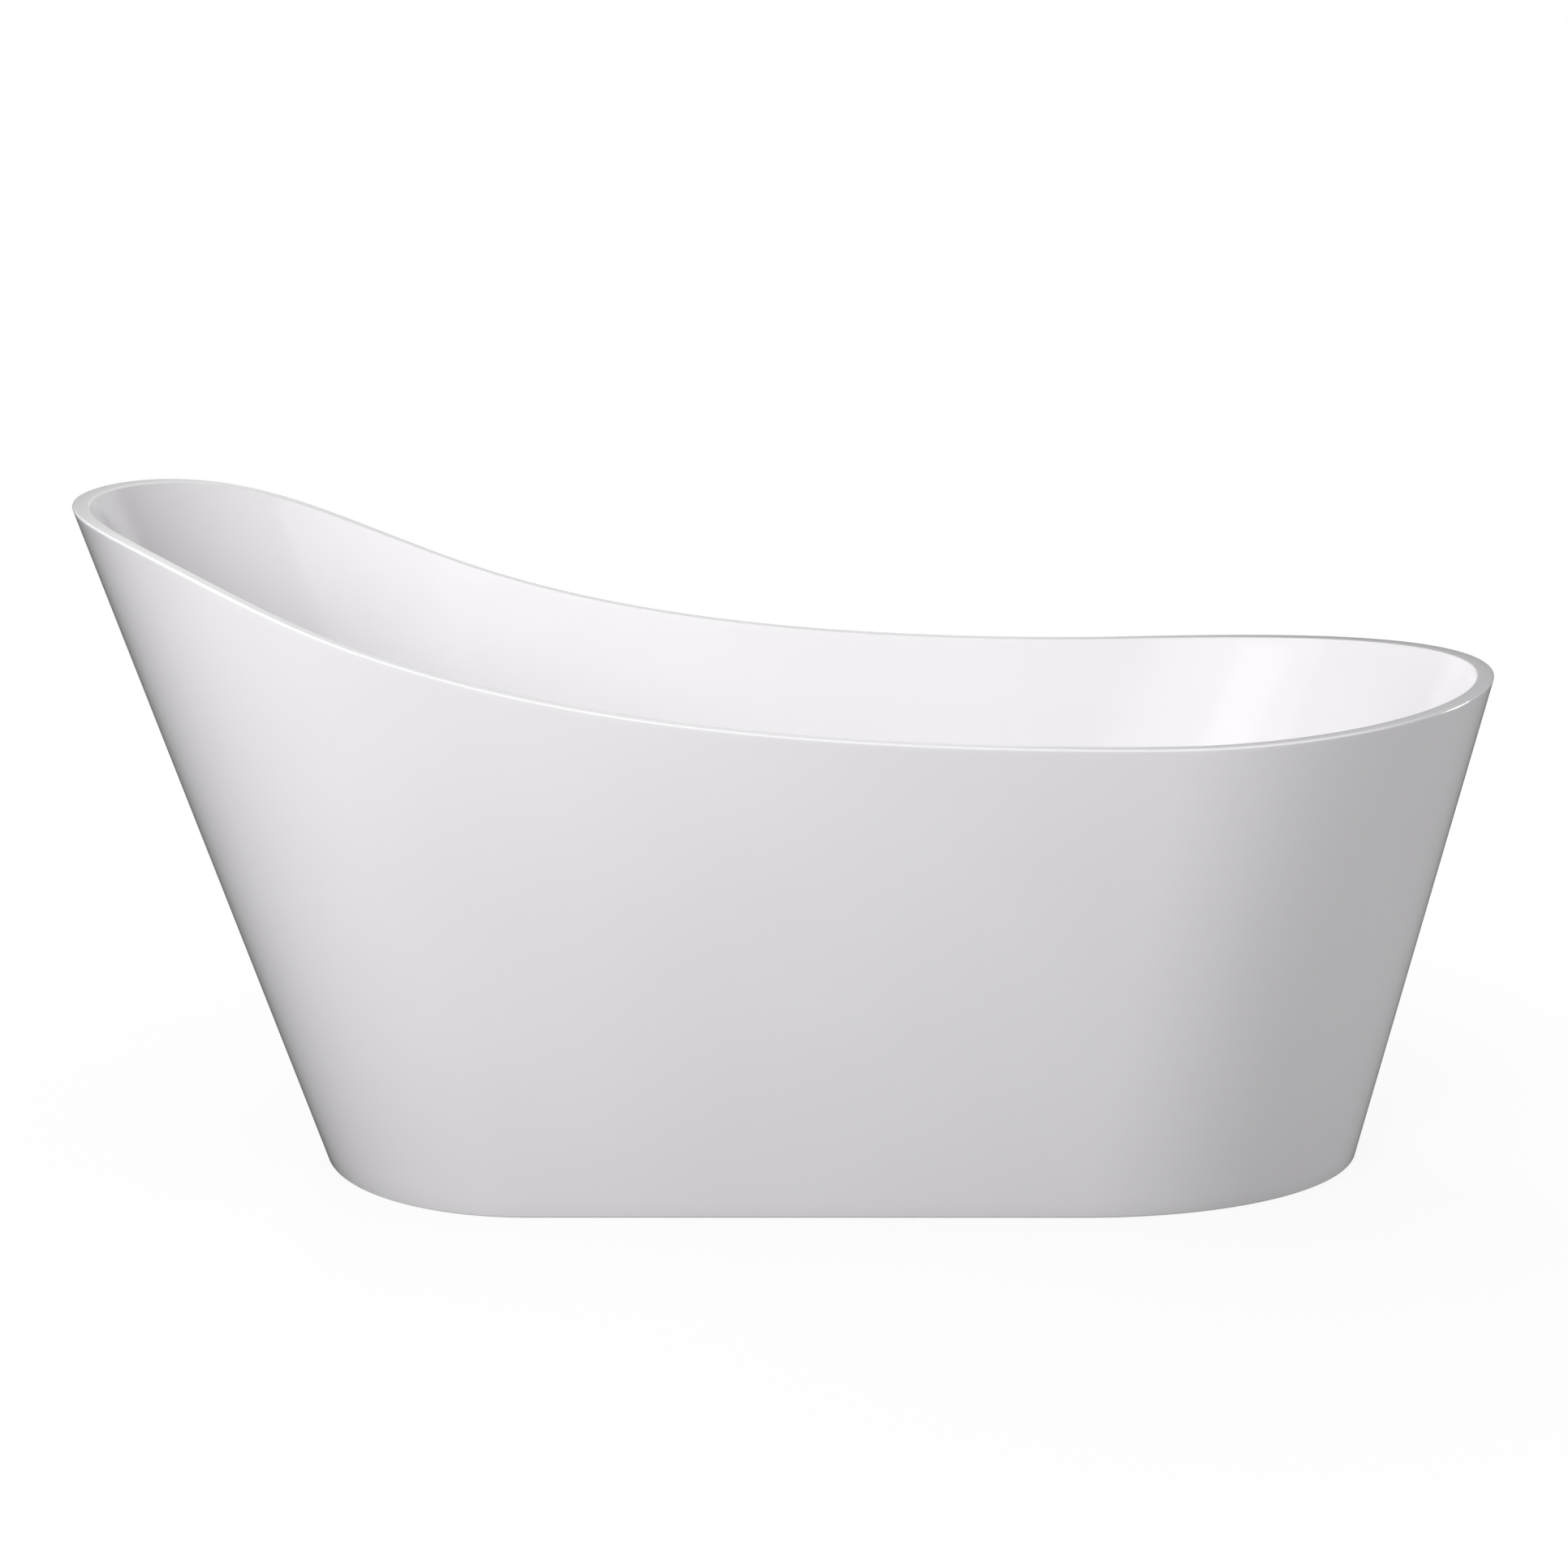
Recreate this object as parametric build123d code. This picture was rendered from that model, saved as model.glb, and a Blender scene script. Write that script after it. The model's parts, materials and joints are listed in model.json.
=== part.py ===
from build123d import *
import math
import os

# Freestanding single-slipper bathtub.
# Lengths are millimetres and angles are degrees. The tub stands on z = 0, X runs from the high
# slipper end (head) to the low end (foot), and left is +Y for a bather who sits against the head.

# Overall form, before the edges are rounded
TUB_LENGTH = 1700.0
HEAD_HEIGHT = 820.0
LOW_HEIGHT = 582.0
FOOT_HEIGHT = 613.0
BASE_WIDTH = 536.0

# Lean of the outer walls from the vertical
HEAD_LEAN = 18.4
FOOT_LEAN = 12.8
SIDE_LEAN = 9.2

# The half-elliptical ends in plan: reach along X on the floor, and how it grows with height
HEAD_ROUND = 271.0
FOOT_ROUND = 365.0
HEAD_ROUND_LEAN = 5.5
FOOT_ROUND_LEAN = 4.0

# Rim line seen from the side: slopes at its ends, its lowest point and the pull of each curve's ends
RIM_HEAD_SLOPE = 3.9
RIM_FOOT_SLOPE = 6.7
RIM_LOW_X = 380.0
RIM_HEAD_PULL = 336.0
RIM_LOW_HEAD_PULL = 930.0
RIM_LOW_FOOT_PULL = 132.0
RIM_FOOT_PULL = 187.0
RIM_OVERRUN = 20.0

# Shells
RIM_WIDTH = 19.0
RIM_THICKNESS = 6.0
RIM_OUTER_RADIUS = 3.5
RIM_INNER_RADIUS = 8.0
RIM_EDGE_SHARE = 0.7
BEAD_THICKNESS = 2.0
SKIRT_WALL = 5.0
SKIRT_BASE_WIDTH = 30.0
SKIRT_BASE_RADIUS = 8.0
BASIN_WALL = 5.0
BACKREST_LEAN = 24.0
INNER_FOOT_LEAN = 26.0
FLOOR_HEIGHT = 150.0
FLOOR_FALL = 0.5
FLOOR_RADIUS = 100.0

# Floor board under the basin
BOARD_THICKNESS = 16.0
BOARD_MARGIN = 6.0
BOARD_DRAIN_GAP = 6.0

# Steel frame
TUBE_SIZE = 25.0
TUBE_WALL = 2.0
RAIL_SETBACK = 35.0
RAIL_HEAD_SETBACK = 85.0
RAIL_DRAIN_SETBACK = 60.0
END_CAP_LIP = 2.0
END_CAP_DEPTH = 12.0
FRAME_SCREW_RADIUS = 2.5
FRAME_SCREW_COVER = 5.0
FRAME_SCREW_HEAD_RADIUS = 5.0
FRAME_SCREW_HEAD_HEIGHT = 3.0
FRAME_SCREWS_PER_RAIL = 4
FRAME_SCREW_END = 85.0

# Levelling feet
STUD_RADIUS = 6.0
FOOT_END = 40.0
FOOT_LIFT = 10.0
STUD_TOP_GAP = 2.0
NUT_WALL = 3.5
WELD_NUT_HEIGHT = 10.0
JAM_NUT_HEIGHT = 7.0
WRENCH_WALL = 1.0
WRENCH_HEIGHT = 6.0
PAD_RADIUS = 25.0
PAD_HEIGHT = 16.0
PAD_TOP_WALL = 8.0
PAD_EDGE = 5.0
PAD_FLOOR = 4.0
PAD_ROOM = 3.0

# Drain
DRAIN_SETBACK = 75.0
DRAIN_RECESS = 4.0
DRAIN_RECESS_ROOM = 4.0
FLANGE_WIDTH = 13.0
FLANGE_THICKNESS = 3.0
FLANGE_EDGE = 1.5
BARREL_RADIUS = 23.0
BARREL_WALL = 3.0
BARREL_LENGTH = 40.0
DRAIN_GASKET_THICKNESS = 1.5
DRAIN_GASKET_INSET = 3.0
DRAIN_WASHER_THICKNESS = 4.0
SPOKE_WIDTH = 5.0
SPOKE_HEIGHT = 6.0
BOSS_WALL = 3.0
BOSS_HEIGHT = 8.0

# Pop-up stopper
STOPPER_LIFT = 9.0
CAP_OVERLAP = 5.0
CAP_EDGE = 2.0
CAP_HEIGHT = 5.5
SEAL_WIDTH = 6.0
SEAL_INSET = 2.0
SEAL_THICKNESS = 2.0
PLUNGER_RADIUS = 4.0
PISTON_SHOULDER = 2.4
PISTON_HEIGHT = 4.0
CARTRIDGE_WALL = 2.5
CARTRIDGE_FLOOR = 2.5
CARTRIDGE_LIP = 4.0
CARTRIDGE_COLLAR_WALL = 2.0
CARTRIDGE_COLLAR_HEIGHT = 4.0
CARTRIDGE_DROP = 20.0
CARTRIDGE_HEADROOM = 3.0
SPRING_HEIGHT = 6.0
SPRING_WIRE_RADIUS = 0.45
SPRING_TURNS = 4

# Waste body, slip joint and tailpiece
WASTE_FLANGE_WIDTH = 9.0
WASTE_FLANGE_THICKNESS = 6.0
WASTE_WALL = 5.0
WASTE_LEDGE = 2.0
BRANCH_ROOM = 4.5
BRANCH_LENGTH = 47.0
BRANCH_COLLAR = 4.0
NECK_LENGTH = 20.0
TAILPIECE_RADIUS = 19.05
TAILPIECE_WALL = 1.4
TAILPIECE_INSERT = 14.0
TAILPIECE_END = 10.0
TAILPIECE_MARK_WIDTH = 1.5
TAILPIECE_MARK_DEPTH = 0.4
NECK_WALL = 4.0
SLIP_NUT_WALL = 5.0
SLIP_NUT_LIP = 3.0
SLIP_NUT_GRIP = 12.0
SLIP_WASHER_THICKNESS = 3.0

# Overflow
OVERFLOW_SKIRT_GAP = 5.0
OVERFLOW_RECESS = 2.0
OVERFLOW_RECESS_REACH = 30.0
OVERFLOW_HOLE_RADIUS = 24.0
OVERFLOW_COVER_OVERLAP = 12.0
OVERFLOW_COVER_ROOM = 4.0
OVERFLOW_COVER_HEIGHT = 7.0
OVERFLOW_COVER_WALL = 2.5
OVERFLOW_COVER_DOME = 2.0
OVERFLOW_SLOT_WIDTH = 34.0
OVERFLOW_GASKET_THICKNESS = 3.0
OVERFLOW_GASKET_WIDTH = 9.0
OVERFLOW_FLANGE_THICKNESS = 4.0
OVERFLOW_CHAMBER_SHOULDER = 4.0
OVERFLOW_CHAMBER_WALL = 3.0
OVERFLOW_SCREW_RADIUS = 2.5
OVERFLOW_SCREW_HEAD_RADIUS = 5.0
OVERFLOW_SCREW_HEAD_HEIGHT = 2.5
OVERFLOW_SCREW_END = 2.0
OVERFLOW_BRIDGE_WIDTH = 11.0
OVERFLOW_BRIDGE_DEPTH = 8.0

# Hose from the overflow to the waste body
SPIGOT_RADIUS = 15.0
SPIGOT_WALL = 3.0
SPIGOT_LENGTH = 36.0
SPIGOT_SHOULDER = 1.0
HOSE_WALL = 2.4
HOSE_BEND_RADIUS = 120.0
HOSE_STOP_GAP = 4.0
CLAMP_WALL = 1.2
CLAMP_WIDTH = 10.0
CLAMP_INSET = 6.0
CLAMP_SCREW_RADIUS = 3.5
CLAMP_SCREW_LENGTH = 14.0

# Clearances
RUNNING_CLEARANCE = 0.08
SEATED_CLEARANCE = 0.1
HOLE_CLEARANCE = 0.6


def slope(angle):
    return math.tan(math.radians(angle))


HALF_LENGTH = TUB_LENGTH / 2
BLOCK_TOP = HEAD_HEIGHT + 2 * RIM_WIDTH


# Plan outlines of the walls

def stadium(head_x, foot_x, head_round, foot_round, half_width, z):
    """Flat outline at height z: two straight sides and a half ellipse at each end."""
    head_centre = head_x + head_round
    foot_centre = foot_x - foot_round
    near = Line((head_centre, -half_width), (foot_centre, -half_width))
    foot = EllipticalCenterArc((foot_centre, 0), foot_round, half_width, -90, arc_size=180)
    far = Line((foot_centre, half_width), (head_centre, half_width))
    head = EllipticalCenterArc((head_centre, 0), head_round, half_width, 90, arc_size=180)
    return Pos(0, 0, z) * make_face([near, foot, far, head])


def outer_sizes(z):
    """Head tip, foot tip, head round, foot round and half width of the outer wall at height z."""
    head_x = -HALF_LENGTH + (HEAD_HEIGHT - z) * slope(HEAD_LEAN)
    foot_x = HALF_LENGTH - (FOOT_HEIGHT - z) * slope(FOOT_LEAN)
    head_round = HEAD_ROUND + z * slope(HEAD_ROUND_LEAN)
    foot_round = FOOT_ROUND + z * slope(FOOT_ROUND_LEAN)
    half_width = BASE_WIDTH / 2 + z * slope(SIDE_LEAN)
    return head_x, foot_x, head_round, foot_round, half_width


def inner_sizes(z):
    """The same sizes of the basin's inner wall, which meets the rim RIM_WIDTH inside the outer wall."""
    head_x = -HALF_LENGTH + RIM_WIDTH + (HEAD_HEIGHT - z) * slope(BACKREST_LEAN)
    foot_x = HALF_LENGTH - RIM_WIDTH - (FOOT_HEIGHT - z) * slope(INNER_FOOT_LEAN)
    _, _, head_round, foot_round, half_width = outer_sizes(z)
    return head_x, foot_x, head_round - RIM_WIDTH, foot_round - RIM_WIDTH, half_width - RIM_WIDTH


def outline(sizes, z, inset=0.0):
    head_x, foot_x, head_round, foot_round, half_width = sizes(z)
    return stadium(
        head_x + inset, foot_x - inset, head_round - inset, foot_round - inset, half_width - inset, z
    )


def leaning_block(sizes, low, inset=0.0):
    """Solid between straight leaning walls, from height low to above the rim."""
    return loft([outline(sizes, low, inset), outline(sizes, BLOCK_TOP, inset)], ruled=True)


# Places that follow from the sizes above

FLOOR_SETBACK = FLOOR_RADIUS * slope((90 - SIDE_LEAN) / 2) + BOARD_MARGIN
FLOOR_HEAD, FLOOR_FOOT, FLOOR_HEAD_ROUND, FLOOR_FOOT_ROUND, FLOOR_HALF_WIDTH = inner_sizes(FLOOR_HEIGHT)
BOARD_HEAD = FLOOR_HEAD + FLOOR_SETBACK
BOARD_FOOT = FLOOR_FOOT - FLOOR_SETBACK
BOARD_HALF_WIDTH = FLOOR_HALF_WIDTH - FLOOR_SETBACK
DRAIN_X = BOARD_FOOT - DRAIN_SETBACK
BOARD_BOTTOM = FLOOR_HEIGHT - BASIN_WALL - BOARD_THICKNESS
FRAME_BOTTOM = BOARD_BOTTOM - TUBE_SIZE
FRAME_SCREW_TOP = BOARD_BOTTOM + BOARD_THICKNESS - FRAME_SCREW_COVER
RAIL_Y = BOARD_HALF_WIDTH - RAIL_SETBACK
RAIL_HEAD_X = BOARD_HEAD + RAIL_HEAD_SETBACK
RAIL_FOOT_X = DRAIN_X - RAIL_DRAIN_SETBACK
DRAIN_SEAT = FLOOR_HEIGHT - DRAIN_RECESS
FLANGE_RADIUS = BARREL_RADIUS + FLANGE_WIDTH
RECESS_RADIUS = FLANGE_RADIUS + DRAIN_RECESS_ROOM
BARREL_HOLE_RADIUS = BARREL_RADIUS + HOLE_CLEARANCE


def disc(radius, low, high):
    return Pos(0, 0, low) * Cylinder(radius, high - low, align=(Align.CENTER, Align.CENTER, Align.MIN))


def ring(outer, inner, low, high):
    return disc(outer, low, high) - disc(inner, low, high)


def hexagon(width, low, high):
    flats = RegularPolygon(width / 2, 6, major_radius=False)
    return Pos(0, 0, low) * extrude(flats, high - low)


def turned(*points):
    """Solid of revolution about Z through points given as radius and height."""
    profile = Plane.XZ * make_face(Polyline(*points, close=True))
    return revolve(profile, Axis.Z)


# Cutting shapes that several pieces share

def under_rim(drop=0.0):
    """Everything below the rim's surface, lowered by drop."""
    head_end = (
        -HALF_LENGTH - RIM_OVERRUN,
        HEAD_HEIGHT + RIM_OVERRUN * slope(RIM_HEAD_SLOPE) - drop,
    )
    low_point = (RIM_LOW_X, LOW_HEIGHT - drop)
    foot_end = (
        HALF_LENGTH + RIM_OVERRUN,
        FOOT_HEIGHT + RIM_OVERRUN * slope(RIM_FOOT_SLOPE) - drop,
    )
    falling = Bezier(
        head_end,
        (head_end[0] + RIM_HEAD_PULL, head_end[1] - RIM_HEAD_PULL * slope(RIM_HEAD_SLOPE)),
        (low_point[0] - RIM_LOW_HEAD_PULL, low_point[1]),
        low_point,
    )
    rising = Bezier(
        low_point,
        (low_point[0] + RIM_LOW_FOOT_PULL, low_point[1]),
        (foot_end[0] - RIM_FOOT_PULL, foot_end[1] - RIM_FOOT_PULL * slope(RIM_FOOT_SLOPE)),
        foot_end,
    )
    below = Polyline(foot_end, (foot_end[0], -RIM_OVERRUN), (head_end[0], -RIM_OVERRUN), head_end)
    side_view = Plane.XZ.offset(-HALF_LENGTH) * make_face([falling, rising, below])
    return extrude(side_view, TUB_LENGTH)


def above_floor(drop=0.0):
    """Everything above the basin's floor plane, which falls towards the drain, lowered by drop."""
    tilt = Pos(DRAIN_X, 0, FLOOR_HEIGHT - drop) * Rot(0, FLOOR_FALL, 0)
    size = 2 * TUB_LENGTH
    return tilt * Box(size, size, size, align=(Align.CENTER, Align.CENTER, Align.MIN))


def basin_form(wall):
    """The basin's inside when wall is 0, or its outside at that wall thickness, before the rim."""
    low = FLOOR_HEIGHT - wall - FLOOR_RADIUS / 4
    form = leaning_block(inner_sizes, low, -wall) & above_floor(wall)
    floor_edges = form.faces().sort_by(Axis.Z)[0].edges()
    form = fillet(floor_edges, FLOOR_RADIUS + wall)
    recess_top = FLOOR_HEIGHT + DRAIN_RECESS - wall
    form += Pos(DRAIN_X, 0, 0) * disc(RECESS_RADIUS + wall, DRAIN_SEAT - wall, recess_top)
    return form


# The overflow's own frame: local X runs up the inner foot wall and local Z points into the basin.
# It sits as high on that wall as the elbow's depth and the gap to the skirt allow.
OVERFLOW_COVER_RADIUS = OVERFLOW_HOLE_RADIUS + OVERFLOW_COVER_OVERLAP
OVERFLOW_RECESS_RADIUS = OVERFLOW_COVER_RADIUS + OVERFLOW_COVER_ROOM
OVERFLOW_CHAMBER_RADIUS = OVERFLOW_HOLE_RADIUS + OVERFLOW_CHAMBER_SHOULDER
OVERFLOW_FLANGE_RADIUS = OVERFLOW_HOLE_RADIUS + OVERFLOW_GASKET_WIDTH
OVERFLOW_BACK = -OVERFLOW_RECESS - BASIN_WALL
OVERFLOW_FLANGE_FACE = OVERFLOW_BACK - OVERFLOW_GASKET_THICKNESS
OVERFLOW_CHAMBER_FACE = OVERFLOW_FLANGE_FACE - OVERFLOW_FLANGE_THICKNESS
SPIGOT_DEPTH = OVERFLOW_CHAMBER_FACE - SPIGOT_SHOULDER - SPIGOT_RADIUS
OVERFLOW_ELBOW_BACK = SPIGOT_DEPTH - SPIGOT_RADIUS - SPIGOT_SHOULDER
SPIGOT_END = OVERFLOW_CHAMBER_RADIUS + SPIGOT_LENGTH
LEAN_SINE = math.sin(math.radians(INNER_FOOT_LEAN))
LEAN_COSINE = math.cos(math.radians(INNER_FOOT_LEAN))
ELBOW_REACH = OVERFLOW_CHAMBER_RADIUS * LEAN_SINE - OVERFLOW_ELBOW_BACK * LEAN_COSINE
ELBOW_RISE = OVERFLOW_CHAMBER_RADIUS * LEAN_COSINE + OVERFLOW_ELBOW_BACK * LEAN_SINE
ELBOW_ROOM = ELBOW_REACH - ELBOW_RISE * slope(FOOT_LEAN) + OVERFLOW_SKIRT_GAP + SKIRT_WALL
OVERFLOW_DROP = (ELBOW_ROOM - RIM_WIDTH) / (slope(INNER_FOOT_LEAN) - slope(FOOT_LEAN))
OVERFLOW_HEIGHT = FOOT_HEIGHT - OVERFLOW_DROP
OVERFLOW_PLANE = Plane(
    origin=(inner_sizes(OVERFLOW_HEIGHT)[1], 0, OVERFLOW_HEIGHT),
    x_dir=(LEAN_SINE, 0, LEAN_COSINE),
    z_dir=(-LEAN_COSINE, 0, LEAN_SINE),
)


# Shells

def rim_edges(basin, inner):
    """Edges of the rim's top surface: those around the basin if inner is true, or the outermost ones."""
    tops = [
        face
        for face in basin.faces().filter_by(GeomType.EXTRUSION)
        if face.normal_at(face.center()).Z > 0
    ]
    half_way = leaning_block(inner_sizes, FLOOR_HEIGHT, -RIM_WIDTH / 2)
    edges = [edge for face in tops for edge in face.edges() if edge.geom_type != GeomType.LINE]
    return [edge for edge in edges if half_way.is_inside(edge @ 0.5) == inner]


def make_basin_shell():
    inside = basin_form(0)
    wall = basin_form(BASIN_WALL)
    wall += OVERFLOW_PLANE * disc(OVERFLOW_RECESS_RADIUS + BASIN_WALL, OVERFLOW_BACK, -OVERFLOW_RECESS)
    flange = leaning_block(outer_sizes, FLOOR_HEIGHT) - under_rim(RIM_THICKNESS)
    basin = ((wall + flange) & under_rim()) - inside
    basin = fillet(rim_edges(basin, inner=False), min(RIM_OUTER_RADIUS, RIM_THICKNESS * RIM_EDGE_SHARE))
    basin = fillet(rim_edges(basin, inner=True), RIM_INNER_RADIUS)
    basin -= OVERFLOW_PLANE * disc(OVERFLOW_RECESS_RADIUS, -OVERFLOW_RECESS, OVERFLOW_RECESS_REACH)
    basin -= OVERFLOW_PLANE * disc(OVERFLOW_HOLE_RADIUS, 2 * OVERFLOW_BACK, 0)
    basin -= Pos(DRAIN_X, 0, 0) * disc(BARREL_HOLE_RADIUS, 0, FLOOR_HEIGHT)
    return basin


def make_outer_skirt():
    block = leaning_block(outer_sizes, 0)
    block = fillet(block.faces().sort_by(Axis.Z)[0].edges(), SKIRT_BASE_RADIUS)
    opening = extrude(outline(outer_sizes, 0, SKIRT_BASE_WIDTH), SKIRT_WALL)
    skirt = block - leaning_block(outer_sizes, SKIRT_WALL, SKIRT_WALL) - opening
    return skirt & under_rim(RIM_THICKNESS + BEAD_THICKNESS)


def make_rim_bond_bead():
    band = leaning_block(outer_sizes, FLOOR_HEIGHT) - leaning_block(outer_sizes, FLOOR_HEIGHT, SKIRT_WALL)
    return (band & under_rim(RIM_THICKNESS)) - under_rim(RIM_THICKNESS + BEAD_THICKNESS)


def make_floor_board():
    plan = stadium(
        BOARD_HEAD,
        BOARD_FOOT,
        FLOOR_HEAD_ROUND - FLOOR_SETBACK,
        FLOOR_FOOT_ROUND - FLOOR_SETBACK,
        BOARD_HALF_WIDTH,
        BOARD_BOTTOM,
    )
    board = extrude(plan, FLOOR_HEIGHT) - above_floor(BASIN_WALL)
    drain_hole = disc(RECESS_RADIUS + BASIN_WALL + BOARD_DRAIN_GAP, 0, 2 * FLOOR_HEIGHT)
    board -= Pos(DRAIN_X, 0, 0) * drain_hole
    hole_radius = FRAME_SCREW_RADIUS + SEATED_CLEARANCE
    for place in frame_screw_places():
        board -= place * disc(hole_radius, 0, FRAME_SCREW_TOP + SEATED_CLEARANCE)
    return board


# Steel frame

def frame_screw_places():
    first = RAIL_HEAD_X + FRAME_SCREW_END
    last = RAIL_FOOT_X - FRAME_SCREW_END
    step = (last - first) / (FRAME_SCREWS_PER_RAIL - 1)
    return [
        Pos(first + step * count, side * RAIL_Y, 0)
        for side in (-1, 1)
        for count in range(FRAME_SCREWS_PER_RAIL)
    ]


def foot_place(end, side):
    x = RAIL_HEAD_X + FOOT_END if end == "head" else RAIL_FOOT_X - FOOT_END
    y = RAIL_Y if side == "left" else -RAIL_Y
    return Pos(x, y, 0)


FEET = [(end, side) for end in ("head", "foot") for side in ("left", "right")]


def make_frame_rail(side):
    sign = 1 if side == "left" else -1
    length = RAIL_FOOT_X - RAIL_HEAD_X
    hollow = TUBE_SIZE - 2 * TUBE_WALL
    tube = Box(length, TUBE_SIZE, TUBE_SIZE) - Box(length, hollow, hollow)
    rail = Pos((RAIL_HEAD_X + RAIL_FOOT_X) / 2, sign * RAIL_Y, FRAME_BOTTOM + TUBE_SIZE / 2) * tube
    for place in frame_screw_places():
        rail -= place * disc(FRAME_SCREW_RADIUS + SEATED_CLEARANCE, 0, BOARD_BOTTOM)
    for end in ("head", "foot"):
        hole = disc(STUD_RADIUS + HOLE_CLEARANCE, 0, FRAME_BOTTOM + TUBE_SIZE / 2)
        rail -= foot_place(end, side) * hole
    return rail


def make_frame_cross(centre_x):
    length = 2 * RAIL_Y - TUBE_SIZE
    hollow = TUBE_SIZE - 2 * TUBE_WALL
    tube = Box(TUBE_SIZE, length, TUBE_SIZE) - Box(hollow, length, hollow)
    return Pos(centre_x, 0, FRAME_BOTTOM + TUBE_SIZE / 2) * tube


def make_rail_end_caps():
    plug = TUBE_SIZE - 2 * TUBE_WALL - 2 * SEATED_CLEARANCE
    lip = Box(END_CAP_LIP, TUBE_SIZE, TUBE_SIZE, align=(Align.MAX, Align.CENTER, Align.CENTER))
    cap = lip + Box(END_CAP_DEPTH, plug, plug, align=(Align.MIN, Align.CENTER, Align.CENTER))
    caps = []
    for sign in (-1, 1):
        middle = sign * RAIL_Y, FRAME_BOTTOM + TUBE_SIZE / 2
        caps.append(Pos(RAIL_HEAD_X, *middle) * cap)
        caps.append(Pos(RAIL_FOOT_X, *middle) * Rot(0, 0, 180) * cap)
    return Compound(caps)


def make_frame_screws():
    head_bottom = FRAME_BOTTOM - FRAME_SCREW_HEAD_HEIGHT
    screw = disc(FRAME_SCREW_RADIUS, FRAME_BOTTOM, FRAME_SCREW_TOP)
    screw += disc(FRAME_SCREW_HEAD_RADIUS, head_bottom, FRAME_BOTTOM)
    screw -= hexagon(FRAME_SCREW_HEAD_RADIUS, head_bottom, FRAME_BOTTOM - FRAME_SCREW_HEAD_HEIGHT / 3)
    return Compound([place * screw for place in frame_screw_places()])


# Levelling feet

WELD_NUT_BOTTOM = FRAME_BOTTOM - WELD_NUT_HEIGHT
STUD_TOP = BOARD_BOTTOM - TUBE_WALL - STUD_TOP_GAP - FOOT_LIFT


def make_foot_nuts(low, high):
    nut = hexagon(2 * (STUD_RADIUS + NUT_WALL), low, high) - disc(STUD_RADIUS + RUNNING_CLEARANCE, low, high)
    return Compound([foot_place(end, side) * nut for end, side in FEET])


def make_foot_stud(end, side):
    stud = disc(STUD_RADIUS, PAD_FLOOR, STUD_TOP)
    stud = chamfer(stud.edges(), STUD_RADIUS / 6)
    wrench_low = PAD_HEIGHT + PAD_ROOM
    stud += hexagon(2 * (STUD_RADIUS + WRENCH_WALL), wrench_low, wrench_low + WRENCH_HEIGHT)
    return foot_place(end, side) * stud


def make_foot_pad(end, side):
    pad = turned(
        (0, 0),
        (PAD_RADIUS, 0),
        (PAD_RADIUS, PAD_EDGE),
        (STUD_RADIUS + PAD_TOP_WALL, PAD_HEIGHT),
        (0, PAD_HEIGHT),
    )
    pad -= disc(STUD_RADIUS + RUNNING_CLEARANCE, PAD_FLOOR, PAD_HEIGHT)
    return foot_place(end, side) * pad


# Drain and stopper

FLANGE_BOTTOM = DRAIN_SEAT + DRAIN_GASKET_THICKNESS
FLANGE_TOP = FLANGE_BOTTOM + FLANGE_THICKNESS
BARREL_BOTTOM = FLANGE_BOTTOM - BARREL_LENGTH
PISTON_RADIUS = PLUNGER_RADIUS + PISTON_SHOULDER
CARTRIDGE_RADIUS = PISTON_RADIUS + RUNNING_CLEARANCE + CARTRIDGE_WALL
CAP_RADIUS = BARREL_RADIUS + CAP_OVERLAP
BOSS_RADIUS = CARTRIDGE_RADIUS + SEATED_CLEARANCE + BOSS_WALL
BOSS_TOP = BARREL_BOTTOM + BOSS_HEIGHT
CAP_BOTTOM = FLANGE_TOP + SEAL_THICKNESS
CARTRIDGE_BOTTOM = BOSS_TOP - CARTRIDGE_DROP
SPRING_BOTTOM = CARTRIDGE_BOTTOM + CARTRIDGE_FLOOR
PISTON_BOTTOM = SPRING_BOTTOM + SPRING_HEIGHT
PISTON_TOP = PISTON_BOTTOM + PISTON_HEIGHT
CARTRIDGE_TOP = PISTON_TOP + STOPPER_LIFT + CARTRIDGE_HEADROOM + CARTRIDGE_LIP
AT_DRAIN = Pos(DRAIN_X, 0, 0)


def make_drain_flange():
    body = turned(
        (BARREL_RADIUS - BARREL_WALL, BARREL_BOTTOM),
        (BARREL_RADIUS, BARREL_BOTTOM),
        (BARREL_RADIUS, FLANGE_BOTTOM),
        (FLANGE_RADIUS, FLANGE_BOTTOM),
        (FLANGE_RADIUS, FLANGE_TOP - FLANGE_EDGE),
        (FLANGE_RADIUS - FLANGE_EDGE, FLANGE_TOP),
        (BARREL_RADIUS - BARREL_WALL, FLANGE_TOP),
    )
    spoke_reach = BARREL_RADIUS - BARREL_WALL / 2
    spoke = Pos(0, 0, BARREL_BOTTOM) * Box(
        2 * spoke_reach, SPOKE_WIDTH, SPOKE_HEIGHT, align=(Align.CENTER, Align.CENTER, Align.MIN)
    )
    body += spoke + Rot(0, 0, 90) * spoke + disc(BOSS_RADIUS, BARREL_BOTTOM, BOSS_TOP)
    body -= disc(CARTRIDGE_RADIUS + SEATED_CLEARANCE, BARREL_BOTTOM, BOSS_TOP)
    return AT_DRAIN * body


def make_drain_gasket():
    return AT_DRAIN * ring(FLANGE_RADIUS - DRAIN_GASKET_INSET, BARREL_HOLE_RADIUS, DRAIN_SEAT, FLANGE_BOTTOM)


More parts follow.
